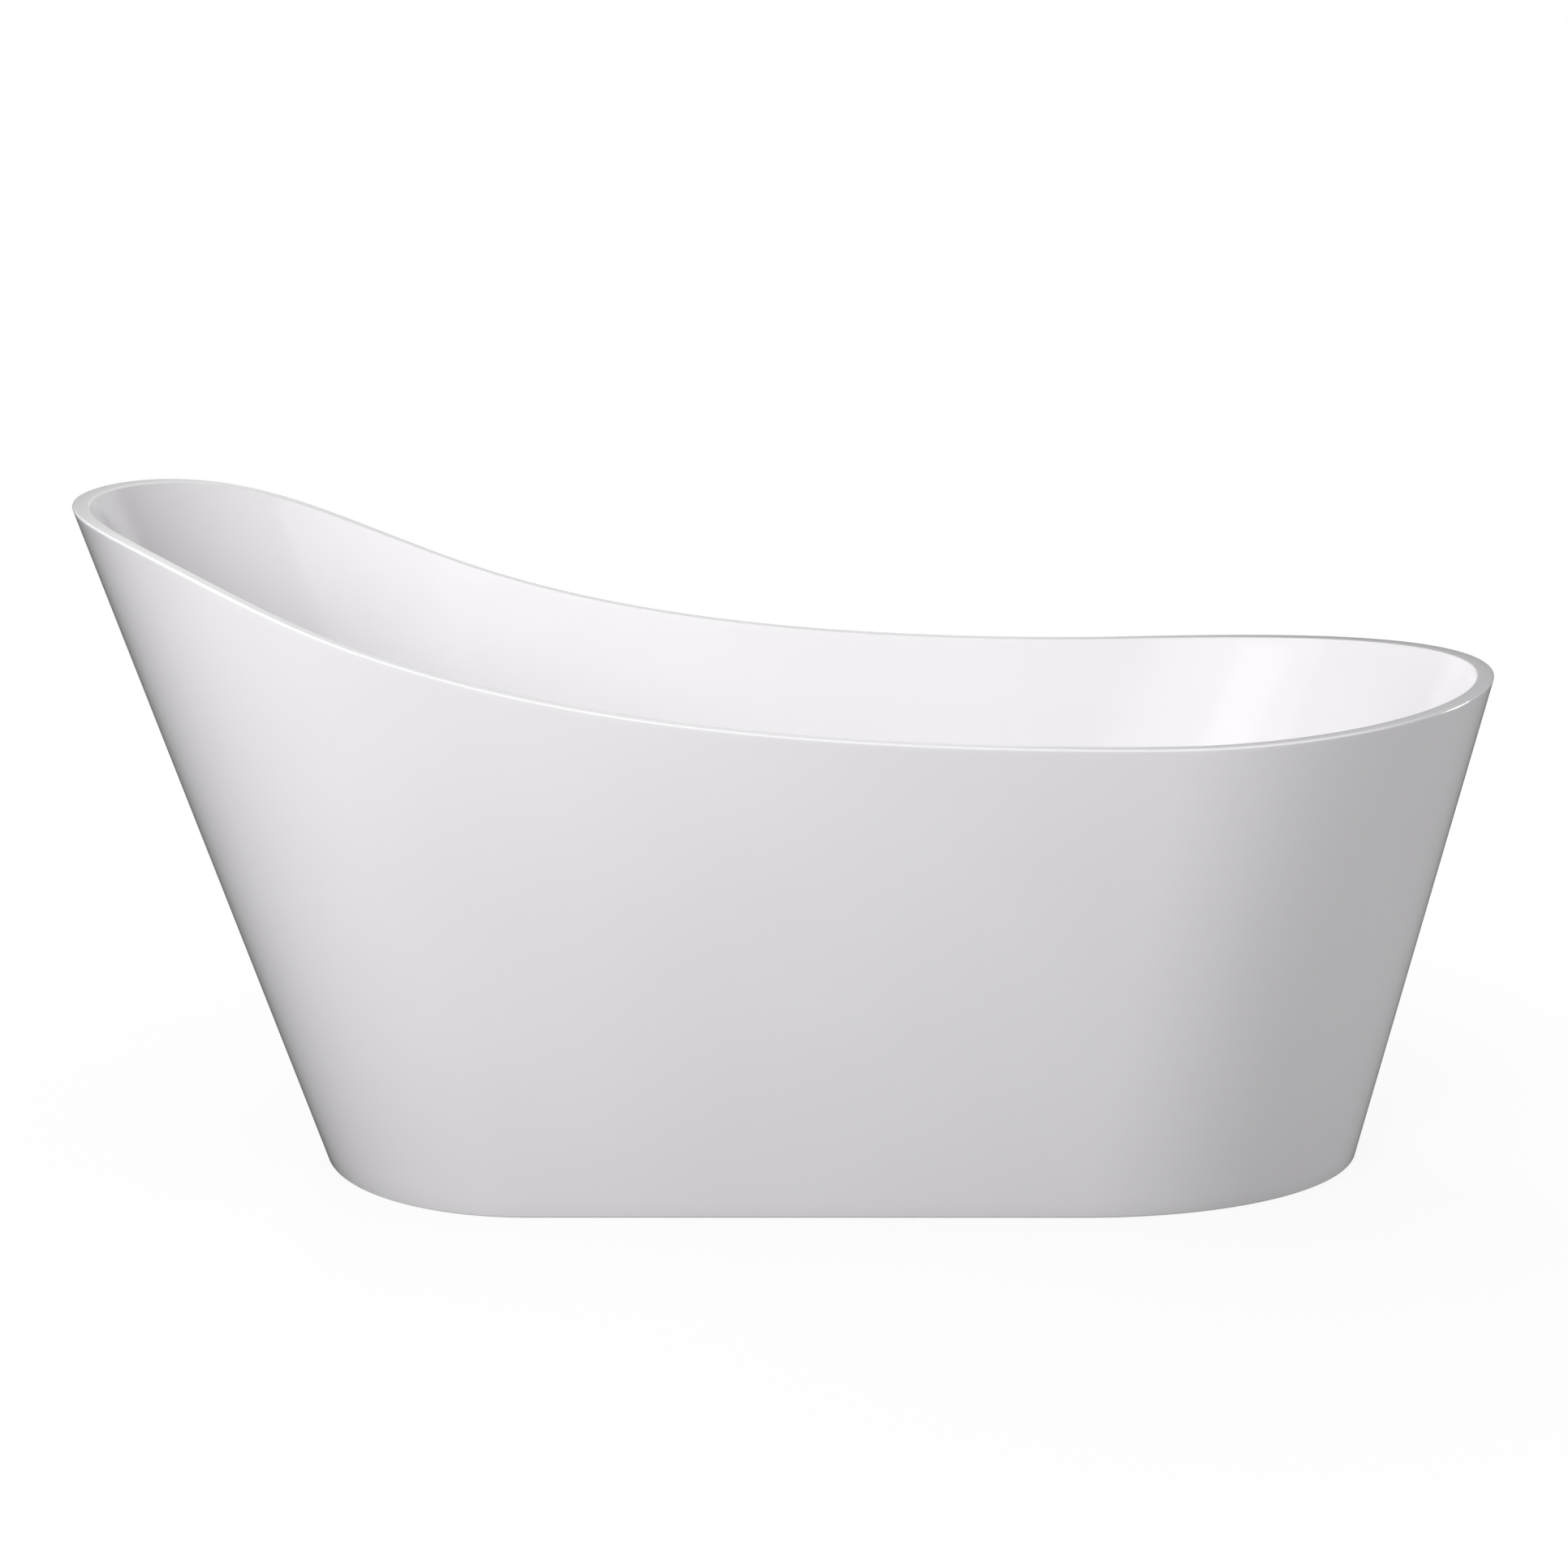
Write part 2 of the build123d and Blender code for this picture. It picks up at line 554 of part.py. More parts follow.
def make_stopper_cartridge():
    bore_radius = PISTON_RADIUS + RUNNING_CLEARANCE
    collar_width = 2 * (CARTRIDGE_RADIUS + CARTRIDGE_COLLAR_WALL)
    body = disc(CARTRIDGE_RADIUS, CARTRIDGE_BOTTOM, CARTRIDGE_TOP)
    body += hexagon(collar_width, BOSS_TOP, BOSS_TOP + CARTRIDGE_COLLAR_HEIGHT)
    body -= disc(bore_radius, SPRING_BOTTOM, CARTRIDGE_TOP - CARTRIDGE_LIP)
    body -= disc(PLUNGER_RADIUS + RUNNING_CLEARANCE, SPRING_BOTTOM, CARTRIDGE_TOP)
    return AT_DRAIN * body


def make_stopper_spring():
    wire_radius = SPRING_WIRE_RADIUS
    coil_height = SPRING_HEIGHT - 2 * wire_radius - 2 * SEATED_CLEARANCE
    coil_radius = PISTON_RADIUS - 2 * wire_radius
    start = SPRING_BOTTOM + wire_radius + SEATED_CLEARANCE
    path = Helix(coil_height / SPRING_TURNS, coil_height, coil_radius)
    wire = sweep(Plane(origin=path @ 0, z_dir=path % 0) * Circle(wire_radius), path, is_frenet=True)
    return AT_DRAIN * Pos(0, 0, start) * wire


def make_stopper_plunger():
    rod = disc(PLUNGER_RADIUS, PISTON_BOTTOM, CAP_BOTTOM)
    return AT_DRAIN * (rod + disc(PISTON_RADIUS, PISTON_BOTTOM, PISTON_TOP))


def make_stopper_cap():
    crown = CAP_BOTTOM + CAP_HEIGHT
    shoulder = CAP_BOTTOM + CAP_EDGE
    dome = ThreePointArc((-CAP_RADIUS, shoulder), (0, crown), (CAP_RADIUS, shoulder))
    half = Polyline((0, crown), (0, CAP_BOTTOM), (CAP_RADIUS, CAP_BOTTOM), (CAP_RADIUS, shoulder))
    half_dome = dome.trim(0.5, 1)
    return AT_DRAIN * revolve(Plane.XZ * make_face([half, half_dome]), Axis.Z)


def make_stopper_seal():
    outer = CAP_RADIUS - SEAL_INSET
    return AT_DRAIN * ring(outer, outer - SEAL_WIDTH, FLANGE_TOP, CAP_BOTTOM)


# Waste body, slip joint and tailpiece

WASHER_TOP = DRAIN_SEAT - BASIN_WALL
WASTE_TOP = WASHER_TOP - DRAIN_WASHER_THICKNESS
WASTE_RADIUS = BARREL_RADIUS + SEATED_CLEARANCE + WASTE_WALL
WASTE_FLANGE_RADIUS = WASTE_RADIUS + WASTE_FLANGE_WIDTH
BRANCH_Z = BARREL_BOTTOM - BRANCH_ROOM - SPIGOT_RADIUS
WASTE_FLOOR = BRANCH_Z - SPIGOT_RADIUS - SPIGOT_WALL - NECK_WALL
NECK_BOTTOM = WASTE_FLOOR - NECK_LENGTH
NECK_BORE = TAILPIECE_RADIUS + SEATED_CLEARANCE
NECK_RADIUS = NECK_BORE + NECK_WALL
SLIP_LIP_TOP = NECK_BOTTOM - SLIP_WASHER_THICKNESS


def along_x(radius, start, end, z):
    """Cylinder along X between two places, at height z on the tub's centre line."""
    return Pos(start, 0, z) * Rot(0, 90, 0) * disc(radius, 0, end - start)


def make_drain_washer():
    return AT_DRAIN * ring(WASTE_FLANGE_RADIUS, BARREL_HOLE_RADIUS, WASTE_TOP, WASHER_TOP)


def make_waste_body():
    barrel_end = BARREL_BOTTOM - SEATED_CLEARANCE
    body = disc(WASTE_FLANGE_RADIUS, WASTE_TOP - WASTE_FLANGE_THICKNESS, WASTE_TOP)
    body += disc(WASTE_RADIUS, WASTE_FLOOR, WASTE_TOP)
    body += disc(NECK_RADIUS, NECK_BOTTOM, WASTE_FLOOR)
    collar_end = WASTE_RADIUS + BRANCH_COLLAR
    body += along_x(SPIGOT_RADIUS + SPIGOT_WALL, 0, collar_end, BRANCH_Z)
    body += along_x(SPIGOT_RADIUS, 0, WASTE_RADIUS + BRANCH_LENGTH, BRANCH_Z)
    body -= disc(BARREL_RADIUS + SEATED_CLEARANCE, barrel_end, WASTE_TOP)
    body -= disc(BARREL_RADIUS - WASTE_LEDGE, WASTE_FLOOR + NECK_WALL, WASTE_TOP)
    body -= disc(NECK_BORE, NECK_BOTTOM, WASTE_TOP)
    body -= along_x(SPIGOT_RADIUS - SPIGOT_WALL, 0, WASTE_RADIUS + BRANCH_LENGTH, BRANCH_Z)
    return AT_DRAIN * body


def make_waste_slip_nut():
    bore = NECK_RADIUS + SEATED_CLEARANCE
    low = SLIP_LIP_TOP - SLIP_NUT_LIP
    high = NECK_BOTTOM + SLIP_NUT_GRIP
    nut = hexagon(2 * (bore + SLIP_NUT_WALL), low, high) - disc(bore, SLIP_LIP_TOP, high)
    return AT_DRAIN * (nut - disc(NECK_BORE, low, high))


def make_waste_slip_washer():
    return AT_DRAIN * ring(NECK_RADIUS, NECK_BORE, SLIP_LIP_TOP, NECK_BOTTOM)


def make_tailpiece():
    """Tube with a shallow groove that marks how far it goes into the slip nut."""
    top = NECK_BOTTOM + TAILPIECE_INSERT
    mark_top = SLIP_LIP_TOP - SLIP_NUT_LIP
    groove = ring(
        TAILPIECE_RADIUS + TAILPIECE_MARK_DEPTH,
        TAILPIECE_RADIUS - TAILPIECE_MARK_DEPTH,
        mark_top - TAILPIECE_MARK_WIDTH,
        mark_top,
    )
    tube = ring(TAILPIECE_RADIUS, TAILPIECE_RADIUS - TAILPIECE_WALL, TAILPIECE_END, top)
    return AT_DRAIN * (tube - groove)


# Overflow, built in its own frame on the inner foot wall

def make_overflow_cover():
    base = -OVERFLOW_RECESS
    shoulder = base + OVERFLOW_COVER_HEIGHT
    crown = shoulder + OVERFLOW_COVER_DOME
    dome = ThreePointArc((-OVERFLOW_COVER_RADIUS, shoulder), (0, crown), (OVERFLOW_COVER_RADIUS, shoulder))
    half = Polyline((0, crown), (0, base), (OVERFLOW_COVER_RADIUS, base), (OVERFLOW_COVER_RADIUS, shoulder))
    cover = revolve(Plane.XZ * make_face([half, dome.trim(0.5, 1)]), Axis.Z)
    ceiling = shoulder - OVERFLOW_COVER_WALL
    cover -= disc(OVERFLOW_COVER_RADIUS - OVERFLOW_COVER_WALL, base, ceiling)
    slot = Box(
        OVERFLOW_COVER_RADIUS,
        OVERFLOW_SLOT_WIDTH,
        ceiling - base,
        align=(Align.MAX, Align.CENTER, Align.MIN),
    )
    cover -= Pos(0, 0, base) * slot
    cover -= disc(OVERFLOW_SCREW_RADIUS + SEATED_CLEARANCE, base, crown)
    cover -= disc(OVERFLOW_SCREW_HEAD_RADIUS + SEATED_CLEARANCE, crown - OVERFLOW_SCREW_HEAD_HEIGHT, crown)
    return OVERFLOW_PLANE * cover


def make_overflow_screw():
    crown = OVERFLOW_COVER_HEIGHT + OVERFLOW_COVER_DOME - OVERFLOW_RECESS
    head_bottom = crown - OVERFLOW_SCREW_HEAD_HEIGHT
    tip = OVERFLOW_FLANGE_FACE - OVERFLOW_BRIDGE_DEPTH - OVERFLOW_SCREW_END
    screw = disc(OVERFLOW_SCREW_HEAD_RADIUS, head_bottom, crown)
    screw += disc(OVERFLOW_SCREW_RADIUS, tip, head_bottom)
    screw -= hexagon(OVERFLOW_SCREW_HEAD_RADIUS, crown - OVERFLOW_SCREW_HEAD_HEIGHT / 2, crown)
    return OVERFLOW_PLANE * screw


def make_overflow_gasket():
    gasket = ring(OVERFLOW_FLANGE_RADIUS, OVERFLOW_HOLE_RADIUS, OVERFLOW_FLANGE_FACE, OVERFLOW_BACK)
    return OVERFLOW_PLANE * gasket


def down_wall(radius, end):
    """Cylinder down the wall from the overflow's axis, along the spigot."""
    return Pos(0, 0, SPIGOT_DEPTH) * Rot(0, -90, 0) * disc(radius, 0, end)


def make_overflow_elbow():
    back = OVERFLOW_ELBOW_BACK
    hollow_radius = OVERFLOW_CHAMBER_RADIUS - OVERFLOW_CHAMBER_WALL
    elbow = disc(OVERFLOW_FLANGE_RADIUS, OVERFLOW_CHAMBER_FACE, OVERFLOW_FLANGE_FACE)
    elbow += disc(OVERFLOW_CHAMBER_RADIUS, back, OVERFLOW_FLANGE_FACE)
    elbow += down_wall(SPIGOT_RADIUS, SPIGOT_END)
    elbow -= disc(hollow_radius, back + OVERFLOW_CHAMBER_WALL, OVERFLOW_CHAMBER_FACE)
    elbow -= disc(OVERFLOW_HOLE_RADIUS, OVERFLOW_CHAMBER_FACE, OVERFLOW_FLANGE_FACE)
    elbow -= down_wall(SPIGOT_RADIUS - SPIGOT_WALL, SPIGOT_END)
    bridge = Pos(0, 0, OVERFLOW_FLANGE_FACE) * Box(
        OVERFLOW_BRIDGE_WIDTH,
        2 * hollow_radius + OVERFLOW_CHAMBER_WALL,
        OVERFLOW_BRIDGE_DEPTH,
        align=(Align.CENTER, Align.CENTER, Align.MAX),
    )
    bridge -= disc(OVERFLOW_SCREW_RADIUS + SEATED_CLEARANCE, back, OVERFLOW_FLANGE_FACE)
    return OVERFLOW_PLANE * (elbow + bridge)


# Hose and its clamps

HOSE_BORE = SPIGOT_RADIUS + SEATED_CLEARANCE
HOSE_RADIUS = HOSE_BORE + HOSE_WALL
HOSE_TOP = OVERFLOW_PLANE.from_local_coords((-OVERFLOW_FLANGE_RADIUS - HOSE_STOP_GAP, 0, SPIGOT_DEPTH))
HOSE_CORNER_X = HOSE_TOP.X - (HOSE_TOP.Z - BRANCH_Z) * slope(INNER_FOOT_LEAN)
HOSE_BOTTOM = Vector(DRAIN_X + WASTE_RADIUS + BRANCH_COLLAR + HOSE_STOP_GAP, 0, BRANCH_Z)


def hose_core(radius):
    path = FilletPolyline(HOSE_TOP, (HOSE_CORNER_X, 0, BRANCH_Z), HOSE_BOTTOM, radius=HOSE_BEND_RADIUS)
    return sweep(Plane(origin=path @ 0, z_dir=path % 0) * Circle(radius), path)


def make_overflow_hose():
    return hose_core(HOSE_RADIUS) - hose_core(HOSE_BORE)


def make_hose_clamps():
    inner = HOSE_RADIUS + SEATED_CLEARANCE
    band = ring(inner + CLAMP_WALL, inner, CLAMP_INSET, CLAMP_INSET + CLAMP_WIDTH)
    middle = CLAMP_INSET + CLAMP_WIDTH / 2
    housing = Pos(inner + CLAMP_WALL + CLAMP_SCREW_RADIUS / 2, 0, middle) * Box(
        2 * CLAMP_SCREW_RADIUS, CLAMP_SCREW_LENGTH, CLAMP_WIDTH
    )
    clamp = band + (housing - disc(inner + CLAMP_WALL / 2, 0, 2 * middle))
    across = (0, 1, 0)
    at_top = Plane(origin=HOSE_TOP, x_dir=across, z_dir=(-LEAN_SINE, 0, -LEAN_COSINE))
    at_bottom = Plane(origin=HOSE_BOTTOM, x_dir=across, z_dir=(1, 0, 0))
    return Compound([at_top * clamp, at_bottom * clamp])


def all_pieces():
    pieces = {
        "basin_shell": make_basin_shell(),
        "outer_skirt": make_outer_skirt(),
        "rim_bond_bead": make_rim_bond_bead(),
        "floor_board": make_floor_board(),
        "frame_rail_left": make_frame_rail("left"),
        "frame_rail_right": make_frame_rail("right"),
        "frame_cross_head": make_frame_cross(RAIL_HEAD_X + TUBE_SIZE / 2),
        "frame_cross_middle": make_frame_cross((RAIL_HEAD_X + RAIL_FOOT_X) / 2),
        "frame_cross_foot": make_frame_cross(RAIL_FOOT_X - TUBE_SIZE / 2),
        "rail_end_caps": make_rail_end_caps(),
        "frame_screws": make_frame_screws(),
        "foot_weld_nuts": make_foot_nuts(WELD_NUT_BOTTOM, FRAME_BOTTOM),
        "foot_jam_nuts": make_foot_nuts(WELD_NUT_BOTTOM - JAM_NUT_HEIGHT, WELD_NUT_BOTTOM),
        "drain_flange": make_drain_flange(),
        "drain_gasket": make_drain_gasket(),
        "drain_washer": make_drain_washer(),
        "stopper_cap": make_stopper_cap(),
        "stopper_seal": make_stopper_seal(),
        "stopper_plunger": make_stopper_plunger(),
        "stopper_cartridge": make_stopper_cartridge(),
        "stopper_spring": make_stopper_spring(),
        "waste_body": make_waste_body(),
        "waste_slip_nut": make_waste_slip_nut(),
        "waste_slip_washer": make_waste_slip_washer(),
        "tailpiece": make_tailpiece(),
        "overflow_cover": make_overflow_cover(),
        "overflow_screw": make_overflow_screw(),
        "overflow_gasket": make_overflow_gasket(),
        "overflow_elbow": make_overflow_elbow(),
        "overflow_hose": make_overflow_hose(),
        "hose_clamps": make_hose_clamps(),
    }
    for end, side in FEET:
        pieces[f"foot_stud_{end}_{side}"] = make_foot_stud(end, side)
        pieces[f"foot_pad_{end}_{side}"] = make_foot_pad(end, side)
    return pieces


os.makedirs("parts", exist_ok=True)
for name, shape in all_pieces().items():
    export_step(shape, f"parts/{name}.step")
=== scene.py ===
import json
import math

import bmesh
import bpy
import numpy as np
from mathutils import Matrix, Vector


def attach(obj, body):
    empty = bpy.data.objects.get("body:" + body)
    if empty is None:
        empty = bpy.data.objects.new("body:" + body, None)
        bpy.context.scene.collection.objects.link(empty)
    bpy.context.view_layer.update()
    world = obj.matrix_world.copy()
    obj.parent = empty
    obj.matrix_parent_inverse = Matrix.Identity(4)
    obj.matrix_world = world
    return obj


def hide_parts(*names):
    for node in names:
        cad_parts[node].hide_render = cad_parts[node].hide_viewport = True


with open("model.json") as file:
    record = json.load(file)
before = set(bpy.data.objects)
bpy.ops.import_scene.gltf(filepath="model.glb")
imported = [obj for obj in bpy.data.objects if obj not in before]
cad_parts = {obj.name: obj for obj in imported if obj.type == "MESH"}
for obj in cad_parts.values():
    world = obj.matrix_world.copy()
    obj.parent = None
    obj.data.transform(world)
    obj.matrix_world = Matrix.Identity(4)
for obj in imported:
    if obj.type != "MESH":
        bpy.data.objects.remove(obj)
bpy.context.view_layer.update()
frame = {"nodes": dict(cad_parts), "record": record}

# Freestanding single-slipper bathtub, in metres and degrees.
# The shells are rebuilt as smooth meshes from the sizes of the CAD part, in the same frame.

# Overall form
HALF_LENGTH = 0.85
HEAD_HEIGHT = 0.82
LOW_HEIGHT = 0.582
FOOT_HEIGHT = 0.613
HALF_BASE_WIDTH = 0.268
HEAD_LEAN = 18.4
FOOT_LEAN = 12.8
SIDE_LEAN = 9.2
HEAD_ROUND = 0.271
FOOT_ROUND = 0.365
HEAD_ROUND_LEAN = 5.5
FOOT_ROUND_LEAN = 4.0

# Rim line seen from the side
RIM_HEAD_SLOPE = 3.9
RIM_FOOT_SLOPE = 6.7
RIM_LOW_X = 0.38
RIM_HEAD_PULL = 0.336
RIM_LOW_HEAD_PULL = 0.93
RIM_LOW_FOOT_PULL = 0.132
RIM_FOOT_PULL = 0.187
RIM_OVERRUN = 0.02

# Shells
RIM_WIDTH = 0.019
RIM_THICKNESS = 0.006
RIM_OUTER_RADIUS = 0.002
RIM_INNER_RADIUS = 0.004
BEAD_THICKNESS = 0.002
SKIRT_WALL = 0.005
SKIRT_BASE_WIDTH = 0.03
SKIRT_BASE_RADIUS = 0.003
BASIN_WALL = 0.005
BACKREST_LEAN = 24.0
INNER_FOOT_LEAN = 26.0
FLOOR_HEIGHT = 0.15
FLOOR_FALL = 0.5
FLOOR_RADIUS = 0.1

# Drain recess and hole
DRAIN_X = 0.43907
DRAIN_RECESS = 0.004
DRAIN_RECESS_RADIUS = 0.04
DRAIN_HOLE_RADIUS = 0.0236
DRAIN_RIM = 0.004

# Overflow recess and hole in the inner foot wall
OVERFLOW_HEIGHT = 0.4461
OVERFLOW_RECESS = 0.002
OVERFLOW_RECESS_RADIUS = 0.04
OVERFLOW_HOLE_RADIUS = 0.024
OVERFLOW_PATCH = 0.055
OVERFLOW_RIM = 0.004

# Overflow hose, which runs straight, round one bend and straight again, with ribs between plain cuffs
HOSE_TOP = Vector((0.760346, 0, 0.399701))
HOSE_CORNER = Vector((0.608318, 0, 0.088))
HOSE_BOTTOM = Vector((0.475173, 0, 0.088))
HOSE_BEND = 0.12
HOSE_RADIUS = 0.0175
HOSE_BORE = 0.0151
HOSE_CUFF = 0.02
HOSE_RIB_PITCH = 0.006
HOSE_RIB_DEPTH = 0.0016

# Studs of the levelling feet
FEET = {
    "head_left": (-0.31659, 0.147188),
    "head_right": (-0.31659, -0.147188),
    "foot_left": (0.339073, 0.147188),
    "foot_right": (0.339073, -0.147188),
}
STUD_BOTTOM = 0.004
STUD_TOP = 0.115
STUD_RADIUS = 0.006
STUD_CHAMFER = 0.001
STUD_HEX_BOTTOM = 0.019
STUD_HEX_HEIGHT = 0.006
STUD_HEX_HALF = 0.007
THREAD_PITCH = 0.00175
THREAD_DEPTH = 0.0009

# Mesh density
HEAD_STEPS = 128
SIDE_STEPS = 48
FOOT_STEPS = 160
WALL_STEPS = 32
BEND_STEPS = 14
EDGE_STEPS = 6
FLOOR_STEPS = 6
HOSE_STEPS = 40
HOSE_RIB_STEPS = 6
STUD_STEPS = 24
THREAD_STEPS = 5
RIM_LINE_STEPS = 400
DRAIN_POINTS = 4
SHARP_ANGLE = 50

# Rounds of closing in on a point of a leaning wall
RIM_ROUNDS = 14
FLOOR_ROUNDS = 6
OVERFLOW_ROUNDS = 8


def slope(angle):
    return math.tan(math.radians(angle))


# Rim line and wall outlines

def bezier(start, pull_start, pull_end, end):
    t = np.linspace(0, 1, RIM_LINE_STEPS)[:, None]
    points = [np.array(p) for p in (start, pull_start, pull_end, end)]
    weights = [(1 - t) ** 3, 3 * t * (1 - t) ** 2, 3 * t**2 * (1 - t), t**3]
    return sum(w * p for w, p in zip(weights, points))


def make_rim_line():
    """Points of the rim's surface seen from the side, from the head to the foot."""
    head = (-HALF_LENGTH - RIM_OVERRUN, HEAD_HEIGHT + RIM_OVERRUN * slope(RIM_HEAD_SLOPE))
    low = (RIM_LOW_X, LOW_HEIGHT)
    foot = (HALF_LENGTH + RIM_OVERRUN, FOOT_HEIGHT + RIM_OVERRUN * slope(RIM_FOOT_SLOPE))
    head_pull = (head[0] + RIM_HEAD_PULL, head[1] - RIM_HEAD_PULL * slope(RIM_HEAD_SLOPE))
    foot_pull = (foot[0] - RIM_FOOT_PULL, foot[1] - RIM_FOOT_PULL * slope(RIM_FOOT_SLOPE))
    falling = bezier(head, head_pull, (low[0] - RIM_LOW_HEAD_PULL, low[1]), low)
    rising = bezier(low, (low[0] + RIM_LOW_FOOT_PULL, low[1]), foot_pull, foot)
    return np.vstack([falling, rising[1:]])


RIM_LINE = make_rim_line()


def rim_height(x):
    return float(np.interp(x, RIM_LINE[:, 0], RIM_LINE[:, 1]))


def outer_sizes(z):
    """Head tip, foot tip, head round, foot round and half width of the outer wall at height z."""
    head_x = -HALF_LENGTH + (HEAD_HEIGHT - z) * slope(HEAD_LEAN)
    foot_x = HALF_LENGTH - (FOOT_HEIGHT - z) * slope(FOOT_LEAN)
    head_round = HEAD_ROUND + z * slope(HEAD_ROUND_LEAN)
    foot_round = FOOT_ROUND + z * slope(FOOT_ROUND_LEAN)
    half_width = HALF_BASE_WIDTH + z * slope(SIDE_LEAN)
    return head_x, foot_x, head_round, foot_round, half_width


def inner_sizes(z):
    """The same sizes of the basin's inner wall."""
    head_x = -HALF_LENGTH + RIM_WIDTH + (HEAD_HEIGHT - z) * slope(BACKREST_LEAN)
    foot_x = HALF_LENGTH - RIM_WIDTH - (FOOT_HEIGHT - z) * slope(INNER_FOOT_LEAN)
    _, _, head_round, foot_round, half_width = outer_sizes(z)
    return head_x, foot_x, head_round - RIM_WIDTH, foot_round - RIM_WIDTH, half_width - RIM_WIDTH


def make_stations():
    """Places round an outline from the head tip: share of the way from foot to head, and angle."""
    half = math.pi / 2
    head_1 = [(1.0, math.pi + half * i / (HEAD_STEPS // 2)) for i in range(HEAD_STEPS // 2)]
    near = [(1 - i / SIDE_STEPS, -half) for i in range(SIDE_STEPS)]
    foot = [(0.0, -half + math.pi * i / FOOT_STEPS) for i in range(FOOT_STEPS)]
    far = [(i / SIDE_STEPS, half) for i in range(SIDE_STEPS)]
    head_2 = [(1.0, half + half * i / (HEAD_STEPS // 2)) for i in range(HEAD_STEPS // 2)]
    return head_1 + near + foot + far + head_2


STATIONS = make_stations()
FOOT_TIP = HEAD_STEPS // 2 + SIDE_STEPS + FOOT_STEPS // 2


def wall_point(sizes, station, z, inset=0.0):
    head_x, foot_x, head_round, foot_round, half_width = sizes(z)
    along, angle = station
    head_centre = head_x + head_round
    foot_centre = foot_x - foot_round
    reach = (head_round if along > 0.5 else foot_round) - inset
    x = foot_centre + (head_centre - foot_centre) * along + reach * math.cos(angle)
    return Vector((x, (half_width - inset) * math.sin(angle), z))


def rim_point(sizes, station, drop=0.0, inset=0.0):
    """Where the wall meets the rim's surface lowered by drop."""
    z = LOW_HEIGHT
    for _ in range(RIM_ROUNDS):
        z = rim_height(wall_point(sizes, station, z, inset).x) - drop
    return wall_point(sizes, station, z, inset)


def floor_height(x, wall):
    return FLOOR_HEIGHT - wall - (x - DRAIN_X) * slope(FLOOR_FALL)


def floor_corner(station, wall):
    """Where the basin's wall would meet its floor without the bend."""
    z = FLOOR_HEIGHT
    for _ in range(FLOOR_ROUNDS):
        z = floor_height(wall_point(inner_sizes, station, z, -wall).x, wall)
    return wall_point(inner_sizes, station, z, -wall)


def inward(sizes, station, z):
    """Level direction into the tub, square to the outline."""
    _, _, head_round, foot_round, half_width = sizes(z)
    along, angle = station
    reach = head_round if along > 0.5 else foot_round
    return Vector((-half_width * math.cos(angle), -reach * math.sin(angle), 0)).normalized()


def rounded(corner, towards_start, towards_end, radius, steps):
    """Points of the arc that rounds a corner between two directions."""
    start = towards_start.normalized()
    end = towards_end.normalized()
    angle = start.angle(end)
    centre = corner + (start + end).normalized() * radius / math.sin(angle / 2)
    reach = radius / math.tan(angle / 2)
    from_centre = corner + start * reach - centre
    to_centre = corner + end * reach - centre
    sweep = math.pi - angle
    shares = [i / steps for i in range(steps + 1)]
    return [
        centre + (from_centre * math.sin(sweep * (1 - t)) + to_centre * math.sin(sweep * t)) / math.sin(sweep)
        for t in shares
    ]


def between(start, end, steps):
    """Points between two others, both left out."""
    return [start.lerp(end, i / steps) for i in range(1, steps)]


# Meshes

def add_piece(name, points, faces, body, *nodes):
    """Smooth mesh piece that rides on a body and stands for CAD nodes."""
    mesh = bpy.data.meshes.new(name)
    mesh.from_pydata(points, [], faces)
    tidy = bmesh.new()
    tidy.from_mesh(mesh)
    bmesh.ops.recalc_face_normals(tidy, faces=tidy.faces)
    tidy.to_mesh(mesh)
    tidy.free()
    mesh.shade_smooth()
    mesh.set_sharp_from_angle(angle=math.radians(SHARP_ANGLE))
    piece = bpy.data.objects.new(name, mesh)
    bpy.context.scene.collection.objects.link(piece)
    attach(piece, body)
    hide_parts(*nodes)
    return piece


def loop_faces(rows, columns, skip=()):
    """Quads of a grid that closes on itself both ways, without the cells in skip."""
    cells = [(i, j) for i in range(rows) for j in range(columns) if (i, j) not in skip]
    return [
        (
            i * columns + j,
            (i + 1) % rows * columns + j,
            (i + 1) % rows * columns + (j + 1) % columns,
            i * columns + (j + 1) % columns,
        )
        for i, j in cells
    ]


def drain_circle(index, radius, z):
    angle = math.pi + 2 * math.pi * index / len(STATIONS)
    return Vector((DRAIN_X + radius * math.cos(angle), radius * math.sin(angle), z))


def basin_side(index, wall, top, top_direction):
    """Points from the drain's hole to the rim, on the inside if wall is 0 or on the back of it."""
    station = STATIONS[index]
    corner = floor_corner(station, wall)
    into = inward(inner_sizes, station, corner.z)
    into.z = -into.x * slope(FLOOR_FALL)
    up = wall_point(inner_sizes, station, corner.z + FLOOR_RADIUS, -wall) - corner
    level = Vector((into.x, into.y, 0)).normalized()
    square_up = level * up.dot(level) + Vector((0, 0, up.z))
    bend = rounded(corner, into, square_up, FLOOR_RADIUS + wall, BEND_STEPS)
    seat = FLOOR_HEIGHT - DRAIN_RECESS - wall
    recess = DRAIN_RECESS_RADIUS + wall
    edge = drain_circle(index, recess + DRAIN_RIM, 0)
    edge.z = floor_height(edge.x, wall)
    lip = drain_circle(index, recess, 0)
    lip.z = floor_height(lip.x, wall)
    side = [drain_circle(index, DRAIN_HOLE_RADIUS, seat), drain_circle(index, recess, seat), lip, edge]
    side += between(edge, bend[0], FLOOR_STEPS) + bend
    wall_top = top + top_direction
    heights = [bend[-1].z + (wall_top.z - bend[-1].z) * i / WALL_STEPS for i in range(1, WALL_STEPS)]
    side += [wall_point(inner_sizes, station, z, -wall) for z in heights]
    return side


